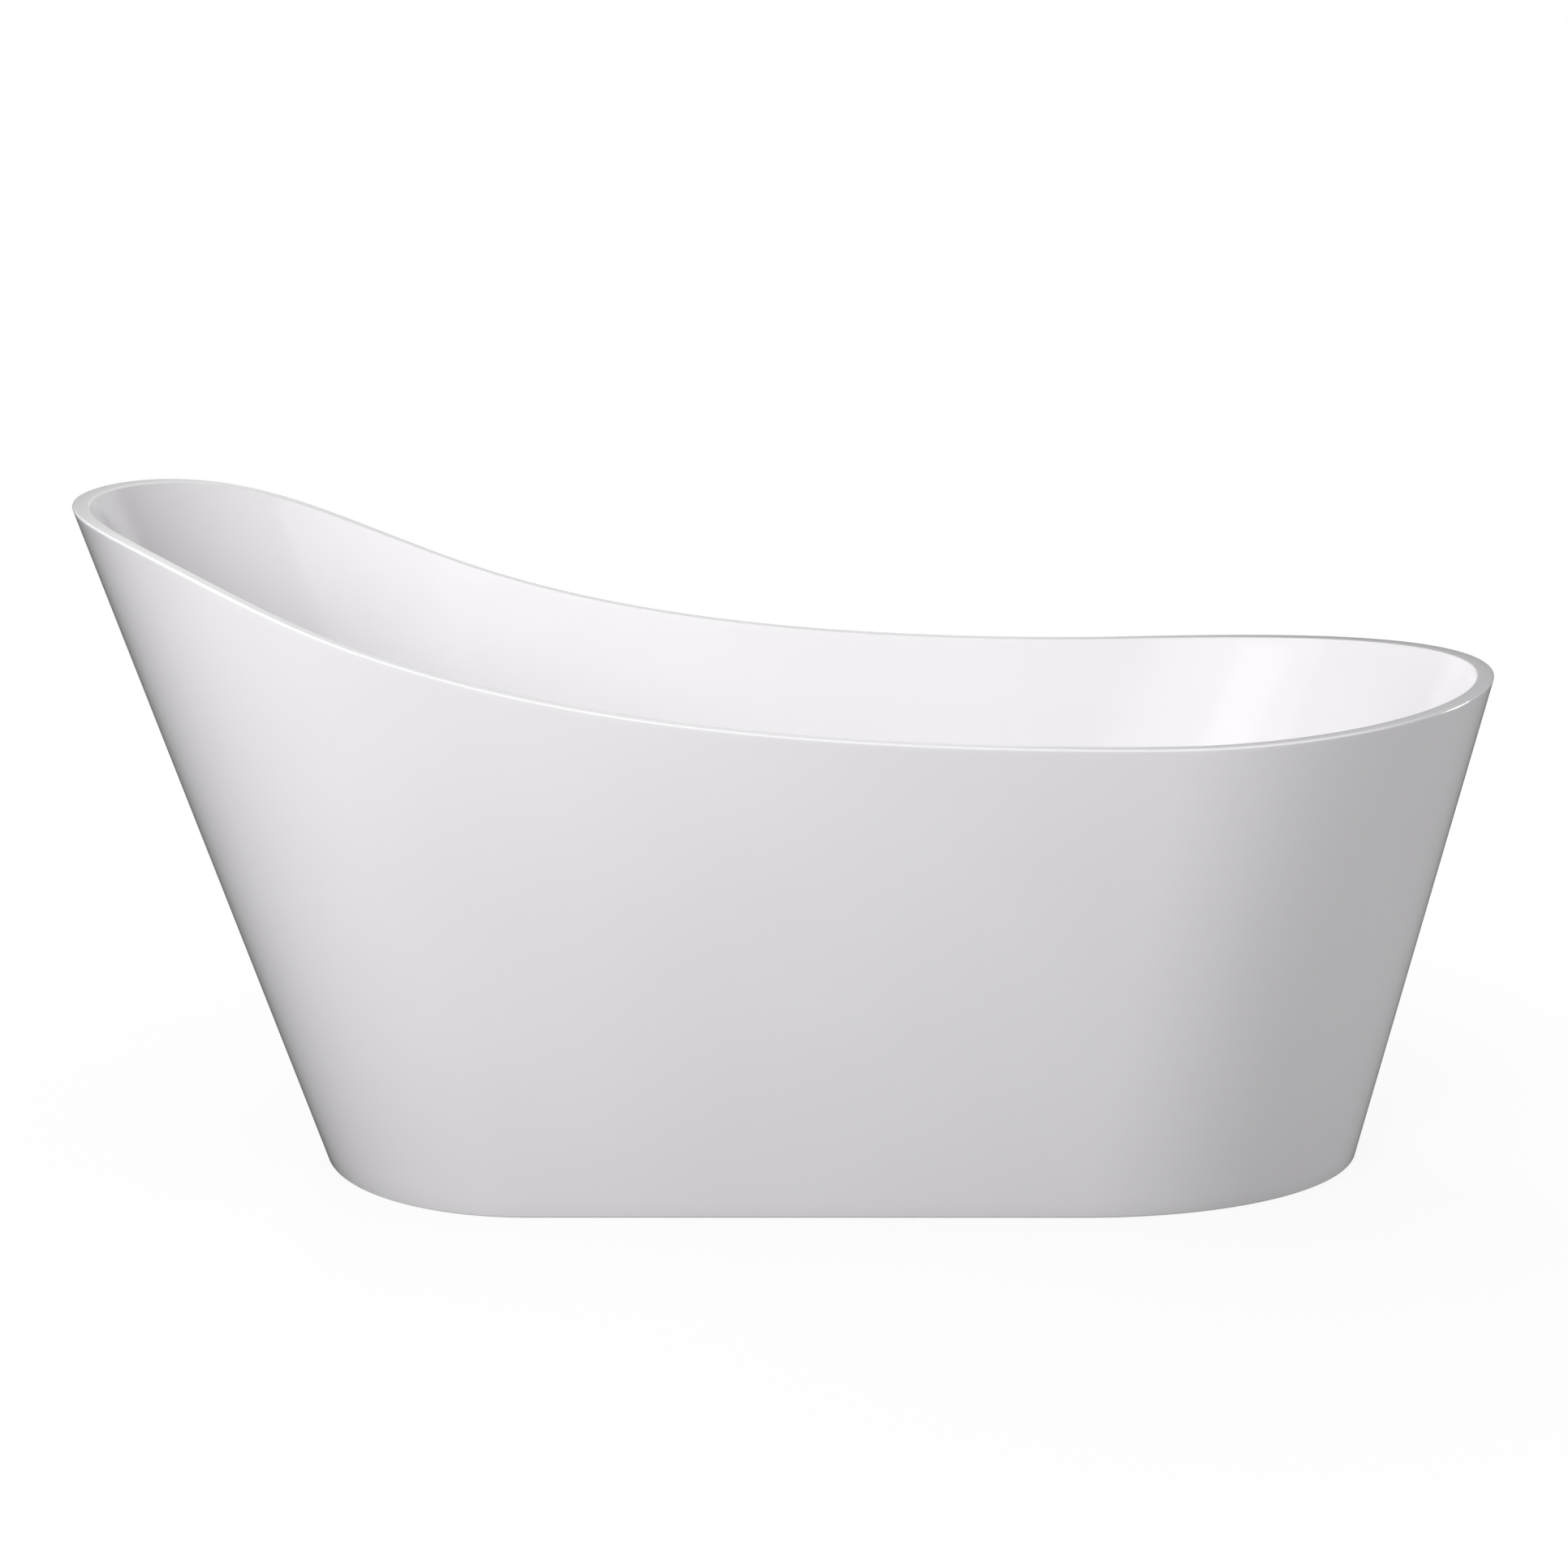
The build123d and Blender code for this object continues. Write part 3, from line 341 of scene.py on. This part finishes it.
def make_basin_rows():
    rows = []
    for index, station in enumerate(STATIONS):
        inner_top = rim_point(inner_sizes, station)
        outer_top = rim_point(outer_sizes, station)
        inner_down = wall_point(inner_sizes, station, inner_top.z - RIM_INNER_RADIUS) - inner_top
        outer_down = wall_point(outer_sizes, station, outer_top.z - RIM_THICKNESS) - outer_top
        across = outer_top - inner_top
        inner_edge = rounded(inner_top, inner_down, across, RIM_INNER_RADIUS, EDGE_STEPS)
        outer_edge = rounded(outer_top, -across, outer_down, RIM_OUTER_RADIUS, EDGE_STEPS)
        under_edge = rim_point(outer_sizes, station, RIM_THICKNESS)
        under_wall = rim_point(inner_sizes, station, RIM_THICKNESS, -BASIN_WALL)
        front = basin_side(index, 0.0, inner_top, inner_edge[0] - inner_top)
        back = basin_side(index, BASIN_WALL, under_wall, Vector())
        rows.append(front + inner_edge + outer_edge + [under_edge, under_wall] + back[::-1])
    return rows


OVERFLOW_LEAN = math.radians(INNER_FOOT_LEAN)
OVERFLOW_UP = Vector((math.sin(OVERFLOW_LEAN), 0, math.cos(OVERFLOW_LEAN)))
OVERFLOW_OUT = Vector((-math.cos(OVERFLOW_LEAN), 0, math.sin(OVERFLOW_LEAN)))
OVERFLOW_CENTRE = Vector((inner_sizes(OVERFLOW_HEIGHT)[1], 0, OVERFLOW_HEIGHT))


def overflow_flat(angle, radius, depth):
    across = Vector((0, radius * math.sin(angle), 0))
    return OVERFLOW_CENTRE + OVERFLOW_UP * radius * math.cos(angle) + across - OVERFLOW_OUT * depth


def overflow_on_wall(angle, radius, wall):
    """Point of the foot wall that lies behind a circle round the overflow's axis."""
    aim = overflow_flat(angle, radius, 0)
    z = aim.z
    for _ in range(OVERFLOW_ROUNDS):
        _, foot_x, _, foot_round, half_width = inner_sizes(z)
        drop = foot_round + wall - (foot_round + wall) * math.sqrt(1 - (aim.y / (half_width + wall)) ** 2)
        point = Vector((foot_x + wall - drop, aim.y, z))
        z += (aim - point).dot(OVERFLOW_UP) * OVERFLOW_UP.z
    return point


def block_edge(first_row, last_row, first_column, last_column):
    """Grid places round a block, in order."""
    edge = [(row, first_column) for row in range(first_row, last_row)]
    edge += [(last_row, column) for column in range(first_column, last_column)]
    edge += [(row, last_column) for row in range(last_row, first_row, -1)]
    edge += [(first_row, column) for column in range(last_column, first_column, -1)]
    return edge


def make_basin():
    """Basin and rim: a closed shell with the drain's hole, and with the overflow's hole cut into its grid."""
    rows = make_basin_rows()
    columns = len(rows[0])
    points = [point for row in rows for point in row]
    tip = rows[FOOT_TIP]
    wall_start = DRAIN_POINTS + FLOOR_STEPS - 1 + BEND_STEPS
    reach = OVERFLOW_PATCH * OVERFLOW_UP.z
    inside = range(wall_start, wall_start + WALL_STEPS)
    low = max(j for j in inside if tip[j].z < OVERFLOW_HEIGHT - reach)
    high = min(j for j in inside if tip[j].z > OVERFLOW_HEIGHT + reach)
    side = next(n for n in range(FOOT_STEPS) if rows[FOOT_TIP + n][low].y > OVERFLOW_PATCH)
    span = range(FOOT_TIP - side, FOOT_TIP + side)
    mirror = columns - 1
    skip = {(i, j) for i in span for j in range(low, high)}
    skip |= {(i, j) for i in span for j in range(mirror - high, mirror - low)}
    faces = loop_faces(len(rows), columns, skip)

    front = block_edge(span[0], span[-1] + 1, low, high)
    back = [(i, mirror - j) for i, j in front]
    offsets = [points[i * columns + j] - OVERFLOW_CENTRE for i, j in front]
    angles = [math.atan2(offset.y, offset.dot(OVERFLOW_UP)) for offset in offsets]
    hole = OVERFLOW_HOLE_RADIUS
    recess = OVERFLOW_RECESS_RADIUS
    behind = OVERFLOW_RECESS + BASIN_WALL
    boss = recess + BASIN_WALL
    circles = [
        [overflow_on_wall(a, recess + OVERFLOW_RIM, 0.0) for a in angles],
        [overflow_on_wall(a, recess, 0.0) for a in angles],
        [overflow_flat(a, recess, OVERFLOW_RECESS) for a in angles],
        [overflow_flat(a, hole, OVERFLOW_RECESS) for a in angles],
        [overflow_flat(a, hole, behind) for a in angles],
        [overflow_flat(a, boss, behind) for a in angles],
        [overflow_on_wall(a, boss, BASIN_WALL) for a in angles],
    ]
    rings = [[i * columns + j for i, j in front]]
    for circle in circles:
        rings.append(list(range(len(points), len(points) + len(circle))))
        points += circle
    rings.append([i * columns + j for i, j in back])
    count = len(front)
    for ring, following in zip(rings, rings[1:]):
        for n in range(count):
            after = (n + 1) % count
            faces.append((ring[n], ring[after], following[after], following[n]))
    return add_piece("basin", points, faces, "tub", "basin_shell")


def make_skirt():
    """Outer wall, its rounded foot and the flange it stands on, as a closed shell."""
    seam = RIM_THICKNESS + BEAD_THICKNESS
    rows = []
    for station in STATIONS:
        top = rim_point(outer_sizes, station, seam)
        corner = wall_point(outer_sizes, station, 0.0)
        inner_corner = wall_point(outer_sizes, station, 0.0, SKIRT_BASE_WIDTH)
        foot = rounded(corner, top - corner, inner_corner - corner, SKIRT_BASE_RADIUS, EDGE_STEPS)
        lip = wall_point(outer_sizes, station, SKIRT_WALL, SKIRT_BASE_WIDTH)
        inner_foot = wall_point(outer_sizes, station, SKIRT_WALL, SKIRT_WALL)
        inner_top = rim_point(outer_sizes, station, seam, SKIRT_WALL)
        outside = [top] + between(top, foot[0], WALL_STEPS) + foot
        inside = [inner_foot] + between(inner_foot, inner_top, WALL_STEPS) + [inner_top]
        rows.append(outside + [inner_corner, lip] + inside)
    points = [point for row in rows for point in row]
    return add_piece("skirt", points, loop_faces(len(rows), len(rows[0])), "tub", "outer_skirt")


def make_bead():
    """The bond between rim and skirt, flush with both."""
    rows = []
    for station in STATIONS:
        corners = [(RIM_THICKNESS, 0.0), (RIM_THICKNESS + BEAD_THICKNESS, 0.0)]
        corners += [(drop, SKIRT_WALL) for drop, _ in corners[::-1]]
        rows.append([rim_point(outer_sizes, station, drop, inset) for drop, inset in corners])
    points = [point for row in rows for point in row]
    return add_piece("bead", points, loop_faces(len(rows), len(rows[0])), "tub", "rim_bond_bead")


def hose_line():
    """Places along the hose from its top, with distance gone and outward direction, and its length."""
    bend = rounded(HOSE_CORNER, HOSE_TOP - HOSE_CORNER, HOSE_BOTTOM - HOSE_CORNER, HOSE_BEND, 1)
    straight = (bend[0] - HOSE_TOP).length
    fall = (bend[0] - HOSE_TOP).normalized()
    level = (HOSE_BOTTOM - bend[1]).normalized()
    turn = fall.angle(level)
    bent = straight + HOSE_BEND * turn
    length = bent + (HOSE_BOTTOM - bend[1]).length
    inner = (level - fall * fall.dot(level)).normalized()
    centre = bend[0] + inner * HOSE_BEND
    count = round(length / HOSE_RIB_PITCH * HOSE_RIB_STEPS)
    line = []
    for gone in [length * i / count for i in range(count + 1)]:
        angle = min(max(gone - straight, 0.0) / HOSE_BEND, turn)
        out = fall * math.sin(angle) - inner * math.cos(angle)
        along = fall * math.cos(angle) + inner * math.sin(angle)
        beyond = min(gone - straight, 0.0) + max(gone - bent, 0.0)
        line.append((centre + out * HOSE_BEND + along * beyond, gone, out))
    return line, length


def make_hose():
    """Ribbed hose with plain cuffs under its clamps, as a closed shell."""
    line, length = hose_line()
    across = Vector((0, 1, 0))
    rows = []
    for i in range(HOSE_STEPS):
        angle = 2 * math.pi * i / HOSE_STEPS
        outside = []
        inside = []
        for place, gone, out in line:
            ribbed = min(gone, length - gone) - HOSE_CUFF
            wave = 0.5 - 0.5 * math.cos(2 * math.pi * ribbed / HOSE_RIB_PITCH) if ribbed > 0 else 0.0
            aside = out * math.cos(angle) + across * math.sin(angle)
            outside.append(place + aside * (HOSE_RADIUS - HOSE_RIB_DEPTH * wave))
            inside.append(place + aside * HOSE_BORE)
        rows.append(outside + inside[::-1])
    points = [point for row in rows for point in row]
    return add_piece("hose", points, loop_faces(len(rows), len(rows[0])), "tub", "overflow_hose")


def stud_profile(angle):
    """Heights and radii of a stud at one angle: plain tip, hexagon to turn it by, and thread."""
    corner = math.pi / 3
    flat = STUD_HEX_HALF / math.cos(angle % corner - corner / 2)
    hex_top = STUD_HEX_BOTTOM + STUD_HEX_HEIGHT
    profile = [
        (STUD_BOTTOM, STUD_RADIUS - STUD_CHAMFER),
        (STUD_BOTTOM + STUD_CHAMFER, STUD_RADIUS),
        (STUD_HEX_BOTTOM, STUD_RADIUS),
        (STUD_HEX_BOTTOM, flat),
        (hex_top, flat),
        (hex_top, STUD_RADIUS - THREAD_DEPTH),
    ]
    thread_top = STUD_TOP - STUD_CHAMFER
    count = round((thread_top - hex_top) / THREAD_PITCH * THREAD_STEPS)
    for i in range(1, count):
        z = hex_top + (thread_top - hex_top) * i / count
        turn = (z / THREAD_PITCH - angle / (2 * math.pi)) % 1
        profile.append((z, STUD_RADIUS - THREAD_DEPTH * abs(2 * turn - 1)))
    return profile + [(STUD_TOP, STUD_RADIUS - STUD_CHAMFER)]


def make_stud(foot):
    """Threaded stud of a levelling foot, closed at both ends."""
    x, y = FEET[foot]
    rows = []
    for i in range(STUD_STEPS):
        angle = 2 * math.pi * i / STUD_STEPS
        aside = Vector((math.cos(angle), math.sin(angle), 0))
        rows.append([Vector((x, y, z)) + aside * radius for z, radius in stud_profile(angle)])
    columns = len(rows[0])
    points = [point for row in rows for point in row]
    ends = {(i, columns - 1) for i in range(STUD_STEPS)}
    faces = loop_faces(STUD_STEPS, columns, ends)
    faces.append(tuple(i * columns for i in range(STUD_STEPS)))
    faces.append(tuple(i * columns + columns - 1 for i in range(STUD_STEPS)))
    return add_piece(f"stud_{foot}", points, faces, f"stud_{foot}", f"foot_stud_{foot}")


# Materials

def new_material(name):
    """Material with a shader, and its nodes, links, shader and object coordinates."""
    material = bpy.data.materials.new(name)
    material.use_nodes = True
    nodes = material.node_tree.nodes
    links = material.node_tree.links
    shader = nodes["Principled BSDF"]
    place = nodes.new("ShaderNodeTexCoord")
    return material, nodes, links, shader, place.outputs["Object"]


def noise(nodes, links, place, scale, detail=3.0):
    texture = nodes.new("ShaderNodeTexNoise")
    texture.inputs["Scale"].default_value = scale
    texture.inputs["Detail"].default_value = detail
    links.new(place, texture.inputs["Vector"])
    return texture.outputs["Fac"]


def shade(nodes, links, factor, dark, light, low=0.35, high=0.65):
    """Colour that runs from dark to light as factor rises from low to high."""
    ramp = nodes.new("ShaderNodeValToRGB")
    ramp.color_ramp.elements[0].position = low
    ramp.color_ramp.elements[0].color = (*dark, 1)
    ramp.color_ramp.elements[1].position = high
    ramp.color_ramp.elements[1].color = (*light, 1)
    links.new(factor, ramp.inputs["Fac"])
    return ramp.outputs["Color"]


def spread(nodes, links, factor, low, high):
    """Number that runs from low to high with a noise."""
    span = nodes.new("ShaderNodeMapRange")
    span.inputs["From Min"].default_value = 0.3
    span.inputs["From Max"].default_value = 0.7
    span.inputs["To Min"].default_value = low
    span.inputs["To Max"].default_value = high
    links.new(factor, span.inputs["Value"])
    return span.outputs["Result"]


def bump(nodes, links, height, strength, distance):
    relief = nodes.new("ShaderNodeBump")
    relief.inputs["Strength"].default_value = strength
    relief.inputs["Distance"].default_value = distance
    links.new(height, relief.inputs["Height"])
    return relief.outputs["Normal"]


def moulded(name, dark, light, roughness, scale, relief, metallic=0.0):
    """Finish with soft patches of colour and gloss and a fine relief."""
    material, nodes, links, shader, place = new_material(name)
    patches = noise(nodes, links, place, scale)
    grain = noise(nodes, links, place, scale * 25)
    links.new(shade(nodes, links, patches, dark, light), shader.inputs["Base Color"])
    links.new(spread(nodes, links, patches, *roughness), shader.inputs["Roughness"])
    links.new(bump(nodes, links, grain, *relief), shader.inputs["Normal"])
    shader.inputs["Metallic"].default_value = metallic
    return material


def make_acrylic():
    material = moulded(
        "acrylic",
        (0.887, 0.868, 0.889),
        (0.907, 0.889, 0.909),
        roughness=(0.07, 0.13),
        scale=3.0,
        relief=(0.02, 0.0005),
    )
    shader = material.node_tree.nodes["Principled BSDF"]
    shader.inputs["IOR"].default_value = 1.49
    return material


def make_galvanised():
    """Zinc crystals as cells of different greys."""
    material, nodes, links, shader, place = new_material("galvanised_steel")
    cells = nodes.new("ShaderNodeTexVoronoi")
    cells.inputs["Scale"].default_value = 90.0
    links.new(place, cells.inputs["Vector"])
    grey = cells.outputs["Color"]
    colour = shade(nodes, links, grey, (0.46, 0.48, 0.5), (0.66, 0.68, 0.7), 0.1, 0.7)
    links.new(colour, shader.inputs["Base Color"])
    links.new(spread(nodes, links, grey, 0.32, 0.5), shader.inputs["Roughness"])
    links.new(bump(nodes, links, grey, 0.1, 0.0005), shader.inputs["Normal"])
    shader.inputs["Metallic"].default_value = 1.0
    return material


def make_plywood():
    """Grain drawn out along X."""
    material, nodes, links, shader, place = new_material("plywood")
    stretch = nodes.new("ShaderNodeMapping")
    stretch.inputs["Scale"].default_value = (1.5, 40.0, 40.0)
    links.new(place, stretch.inputs["Vector"])
    grain = noise(nodes, links, stretch.outputs["Vector"], 2.0, 6.0)
    links.new(shade(nodes, links, grain, (0.42, 0.26, 0.13), (0.68, 0.5, 0.3)), shader.inputs["Base Color"])
    links.new(spread(nodes, links, grain, 0.55, 0.75), shader.inputs["Roughness"])
    links.new(bump(nodes, links, grain, 0.2, 0.001), shader.inputs["Normal"])
    return material


MATERIALS = {
    "acrylic": make_acrylic(),
    "plywood": make_plywood(),
    "galvanised_steel": make_galvanised(),
    "zinc_fastener": moulded(
        "zinc_fastener", (0.5, 0.52, 0.55), (0.68, 0.69, 0.7), (0.22, 0.38), 60.0, (0.1, 0.0002), metallic=1.0
    ),
    "black_plastic": moulded(
        "black_plastic", (0.018, 0.018, 0.02), (0.035, 0.035, 0.037), (0.4, 0.55), 30.0, (0.2, 0.0003)
    ),
    "chrome": moulded(
        "chrome", (0.78, 0.79, 0.8), (0.84, 0.85, 0.86), (0.03, 0.07), 20.0, (0.01, 0.0001), metallic=1.0
    ),
    "brass": moulded(
        "brass", (0.55, 0.38, 0.14), (0.7, 0.52, 0.22), (0.2, 0.35), 60.0, (0.05, 0.0002), metallic=1.0
    ),
    "spring_steel": moulded(
        "spring_steel", (0.4, 0.41, 0.43), (0.55, 0.56, 0.58), (0.2, 0.3), 80.0, (0.05, 0.0001), metallic=1.0
    ),
    "rubber": moulded(
        "rubber", (0.02, 0.02, 0.022), (0.045, 0.045, 0.047), (0.6, 0.8), 40.0, (0.3, 0.0003)
    ),
    "white_pvc": moulded(
        "white_pvc", (0.74, 0.74, 0.72), (0.82, 0.82, 0.8), (0.3, 0.45), 15.0, (0.08, 0.0003)
    ),
    "hose": moulded("hose", (0.25, 0.26, 0.28), (0.36, 0.37, 0.39), (0.45, 0.6), 30.0, (0.15, 0.0004)),
}
MATERIALS["chromed_tube"] = MATERIALS["chrome"]
MATERIALS["bond"] = MATERIALS["acrylic"]


def paint(piece, slot):
    piece.data.materials.clear()
    piece.data.materials.append(MATERIALS[slot])


SLOT_OF_NODE = {part["node"]: part["material_slot"] for part in frame["record"]["subparts"]}

paint(make_basin(), "acrylic")
paint(make_skirt(), "acrylic")
paint(make_bead(), "bond")
paint(make_hose(), "hose")
for foot in FEET:
    paint(make_stud(foot), "zinc_fastener")
for node_name, node in frame["nodes"].items():
    if not node.hide_render:
        paint(node, SLOT_OF_NODE[node_name])


# Studio

FLOOR_SIZE = 30.0
FLOOR_DROP = 0.0005
SHADOW_SHARE = 0.15
SHADOW_REACH = 1.6
FLOOR_WHITE = 0.9
FLOOR_GREY = 0.2
AMBIENT = 0.4
SURROUND_RADIUS = 3.0
SURROUND_HEIGHT = 4.0
SURROUND_LIFT = 0.001
SURROUND_GLOW = 0.03
SURROUND_BACK_GLOW = 0.8
SURROUND_BACK_CLIMB = (0.2, 0.8)
SURROUND_BACK_RISE = (-1.6, -0.9)
SURROUND_BACK_FALL = (0.4, 1.1)
SURROUND_BACK_LEFT_SHARE = 0.2
SURROUND_STEPS = 64
SURROUND_FRONT = 0.35
LAMP_AIM = Vector((0, 0, 0.4))
CAMERA_PLACE = (-0.00193, -3.6, 1.27364)
CAMERA_TILT = 77.297
CAMERA_TURN = 0.0572
CAMERA_LENS_MM = 69.055
CAMERA_SENSOR_MM = 36.0


def worked_out(tree, operation, *numbers):
    node = tree.nodes.new("ShaderNodeMath")
    node.operation = operation
    for number, socket in zip(numbers, node.inputs):
        tree.links.new(number, socket)
    return node.outputs[0]


def eased(tree, value, start, end, low, high):
    """Number that eases from low to high as value goes from start to end."""
    ease = tree.nodes.new("ShaderNodeMapRange")
    ease.interpolation_type = "SMOOTHSTEP"
    ease.inputs["From Min"].default_value = start
    ease.inputs["From Max"].default_value = end
    ease.inputs["To Min"].default_value = low
    ease.inputs["To Max"].default_value = high
    tree.links.new(value, ease.inputs["Value"])
    return ease.outputs["Result"]


def seen_directly(tree):
    """1 for rays that show the background itself: from the camera, mirrored or passed through."""
    rays = tree.nodes.new("ShaderNodeLightPath")
    total = rays.outputs["Is Camera Ray"]
    for kind in ("Is Glossy Ray", "Is Transmission Ray"):
        total = worked_out(tree, "MAXIMUM", total, rays.outputs[kind])
    return total


def make_world():
    world = bpy.data.worlds.new("studio")
    world.use_nodes = True
    tree = world.node_tree
    ambient = tree.nodes["Background"]
    ambient.inputs["Strength"].default_value = AMBIENT
    white = tree.nodes.new("ShaderNodeBackground")
    white.inputs["Color"].default_value = (1, 1, 1, 1)
    ambient.inputs["Color"].default_value = (1, 1, 1, 1)
    mix = tree.nodes.new("ShaderNodeMixShader")
    tree.links.new(seen_directly(tree), mix.inputs["Fac"])
    tree.links.new(ambient.outputs[0], mix.inputs[1])
    tree.links.new(white.outputs[0], mix.inputs[2])
    tree.links.new(mix.outputs[0], tree.nodes["World Output"].inputs["Surface"])
    bpy.context.scene.world = world


def make_stage(name, points, faces):
    mesh = bpy.data.meshes.new(name)
    mesh.from_pydata(points, [], faces)
    piece = bpy.data.objects.new(name, mesh)
    bpy.context.scene.collection.objects.link(piece)
    material = bpy.data.materials.new(name)
    material.use_nodes = True
    tree = material.node_tree
    tree.nodes.remove(tree.nodes["Principled BSDF"])
    mesh.materials.append(material)
    return piece, tree


def make_floor():
    """Pale floor: white where it is seen, with the tub's shadow kept, and grey for the light it sends up."""
    half = FLOOR_SIZE / 2
    corners = [(x, y, -FLOOR_DROP) for x, y in ((-half, -half), (half, -half), (half, half), (-half, half))]
    _, tree = make_stage("floor", corners, [(0, 1, 2, 3)])
    glow = tree.nodes.new("ShaderNodeEmission")
    lit = tree.nodes.new("ShaderNodeBsdfDiffuse")
    lit.inputs["Color"].default_value = (FLOOR_WHITE, FLOOR_WHITE, FLOOR_WHITE, 1)
    grey = tree.nodes.new("ShaderNodeBsdfDiffuse")
    grey.inputs["Color"].default_value = (FLOOR_GREY, FLOOR_GREY, FLOOR_GREY, 1)
    place = tree.nodes.new("ShaderNodeTexCoord")
    away = tree.nodes.new("ShaderNodeVectorMath")
    away.operation = "LENGTH"
    tree.links.new(place.outputs["Object"], away.inputs[0])
    share = eased(tree, away.outputs["Value"], HALF_LENGTH / 2, SHADOW_REACH, SHADOW_SHARE, 0.0)
    seen = tree.nodes.new("ShaderNodeMixShader")
    tree.links.new(share, seen.inputs["Fac"])
    tree.links.new(glow.outputs[0], seen.inputs[1])
    tree.links.new(lit.outputs[0], seen.inputs[2])
    mix = tree.nodes.new("ShaderNodeMixShader")
    tree.links.new(seen_directly(tree), mix.inputs["Fac"])
    tree.links.new(grey.outputs[0], mix.inputs[1])
    tree.links.new(seen.outputs[0], mix.inputs[2])
    tree.links.new(mix.outputs[0], tree.nodes["Material Output"].inputs["Surface"])


def make_surround():
    """Mat and half round behind the tub that show only in its gloss: dark, so that they darken the tub's
    outline, but paler on the mat towards the camera and on the half round straight behind the rim."""
    turn = [2 * math.pi * i / SURROUND_STEPS for i in range(SURROUND_STEPS)]
    points = [(SURROUND_RADIUS * math.cos(a), SURROUND_RADIUS * math.sin(a), SURROUND_LIFT) for a in turn]
    faces = [tuple(range(SURROUND_STEPS))]
    behind = [i for i in range(SURROUND_STEPS) if math.sin(turn[i]) > -SURROUND_FRONT]
    points += [(x, y, SURROUND_HEIGHT) for x, y, _ in points]
    for i in behind:
        after = (i + 1) % SURROUND_STEPS
        if after in behind:
            faces.append((i, after, SURROUND_STEPS + after, SURROUND_STEPS + i))
    piece, tree = make_stage("surround", points, faces)
    place = tree.nodes.new("ShaderNodeTexCoord")
    parts = tree.nodes.new("ShaderNodeSeparateXYZ")
    tree.links.new(place.outputs["Object"], parts.inputs[0])
    front = eased(tree, parts.outputs["Y"], -HALF_BASE_WIDTH, -SURROUND_RADIUS, SURROUND_GLOW, 1.0)
    above = eased(tree, parts.outputs["Z"], *SURROUND_BACK_CLIMB, 0.0, SURROUND_BACK_GLOW)
    rise = eased(tree, parts.outputs["X"], *SURROUND_BACK_RISE, SURROUND_BACK_LEFT_SHARE, 1.0)
    fall = eased(tree, parts.outputs["X"], *SURROUND_BACK_FALL, 1.0, 0.0)
    behind_rim = worked_out(tree, "MULTIPLY", above, worked_out(tree, "MULTIPLY", rise, fall))
    glow = tree.nodes.new("ShaderNodeEmission")
    tree.links.new(worked_out(tree, "ADD", front, behind_rim), glow.inputs["Strength"])
    tree.links.new(glow.outputs[0], tree.nodes["Material Output"].inputs["Surface"])
    piece.visible_camera = False
    piece.visible_diffuse = False
    piece.visible_shadow = False
    piece.visible_transmission = False


def add_lamp(name, place, size, watts, mirrored=True):
    """Soft square lamp that faces the tub, and shows in its gloss if it is mirrored."""
    lamp = bpy.data.lights.new(name, "AREA")
    lamp.size = size
    lamp.energy = watts
    piece = bpy.data.objects.new(name, lamp)
    piece.location = place
    piece.rotation_euler = (LAMP_AIM - Vector(place)).to_track_quat("-Z", "Y").to_euler()
    piece.visible_glossy = mirrored
    bpy.context.scene.collection.objects.link(piece)


def make_camera():
    camera = bpy.data.cameras.new("camera")
    camera.lens = CAMERA_LENS_MM
    camera.sensor_width = CAMERA_SENSOR_MM
    piece = bpy.data.objects.new("camera", camera)
    piece.location = CAMERA_PLACE
    piece.rotation_euler = (math.radians(CAMERA_TILT), 0, math.radians(CAMERA_TURN))
    bpy.context.scene.collection.objects.link(piece)
    bpy.context.scene.camera = piece


make_world()
make_floor()
make_surround()
add_lamp("lamp_left", (-4.2, -0.5, 1.8), 2.0, 7)
add_lamp("lamp_left_near", (-2.3, -2.2, 1.9), 1.2, 5)
add_lamp("lamp_left_fill", (-1.9, -2.4, 1.9), 1.2, 18, mirrored=False)
add_lamp("lamp_front", (-0.9, -3.2, 1.9), 1.2, 54, mirrored=False)
add_lamp("lamp_front_high", (-0.8, -3.0, 3.4), 2.0, 8, mirrored=False)
add_lamp("lamp_right_low", (2.4, 0.4, 0.3), 0.5, 16)
add_lamp("lamp_top", (-1.6, -0.4, 3.6), 2.0, 17)
add_lamp("lamp_back", (-1.8, 4.0, 2.6), 2.0, 16)
add_lamp("lamp_back_low", (-1.0, 3.4, 0.9), 1.2, 45, mirrored=False)
make_camera()
bpy.context.scene.view_settings.view_transform = "Standard"
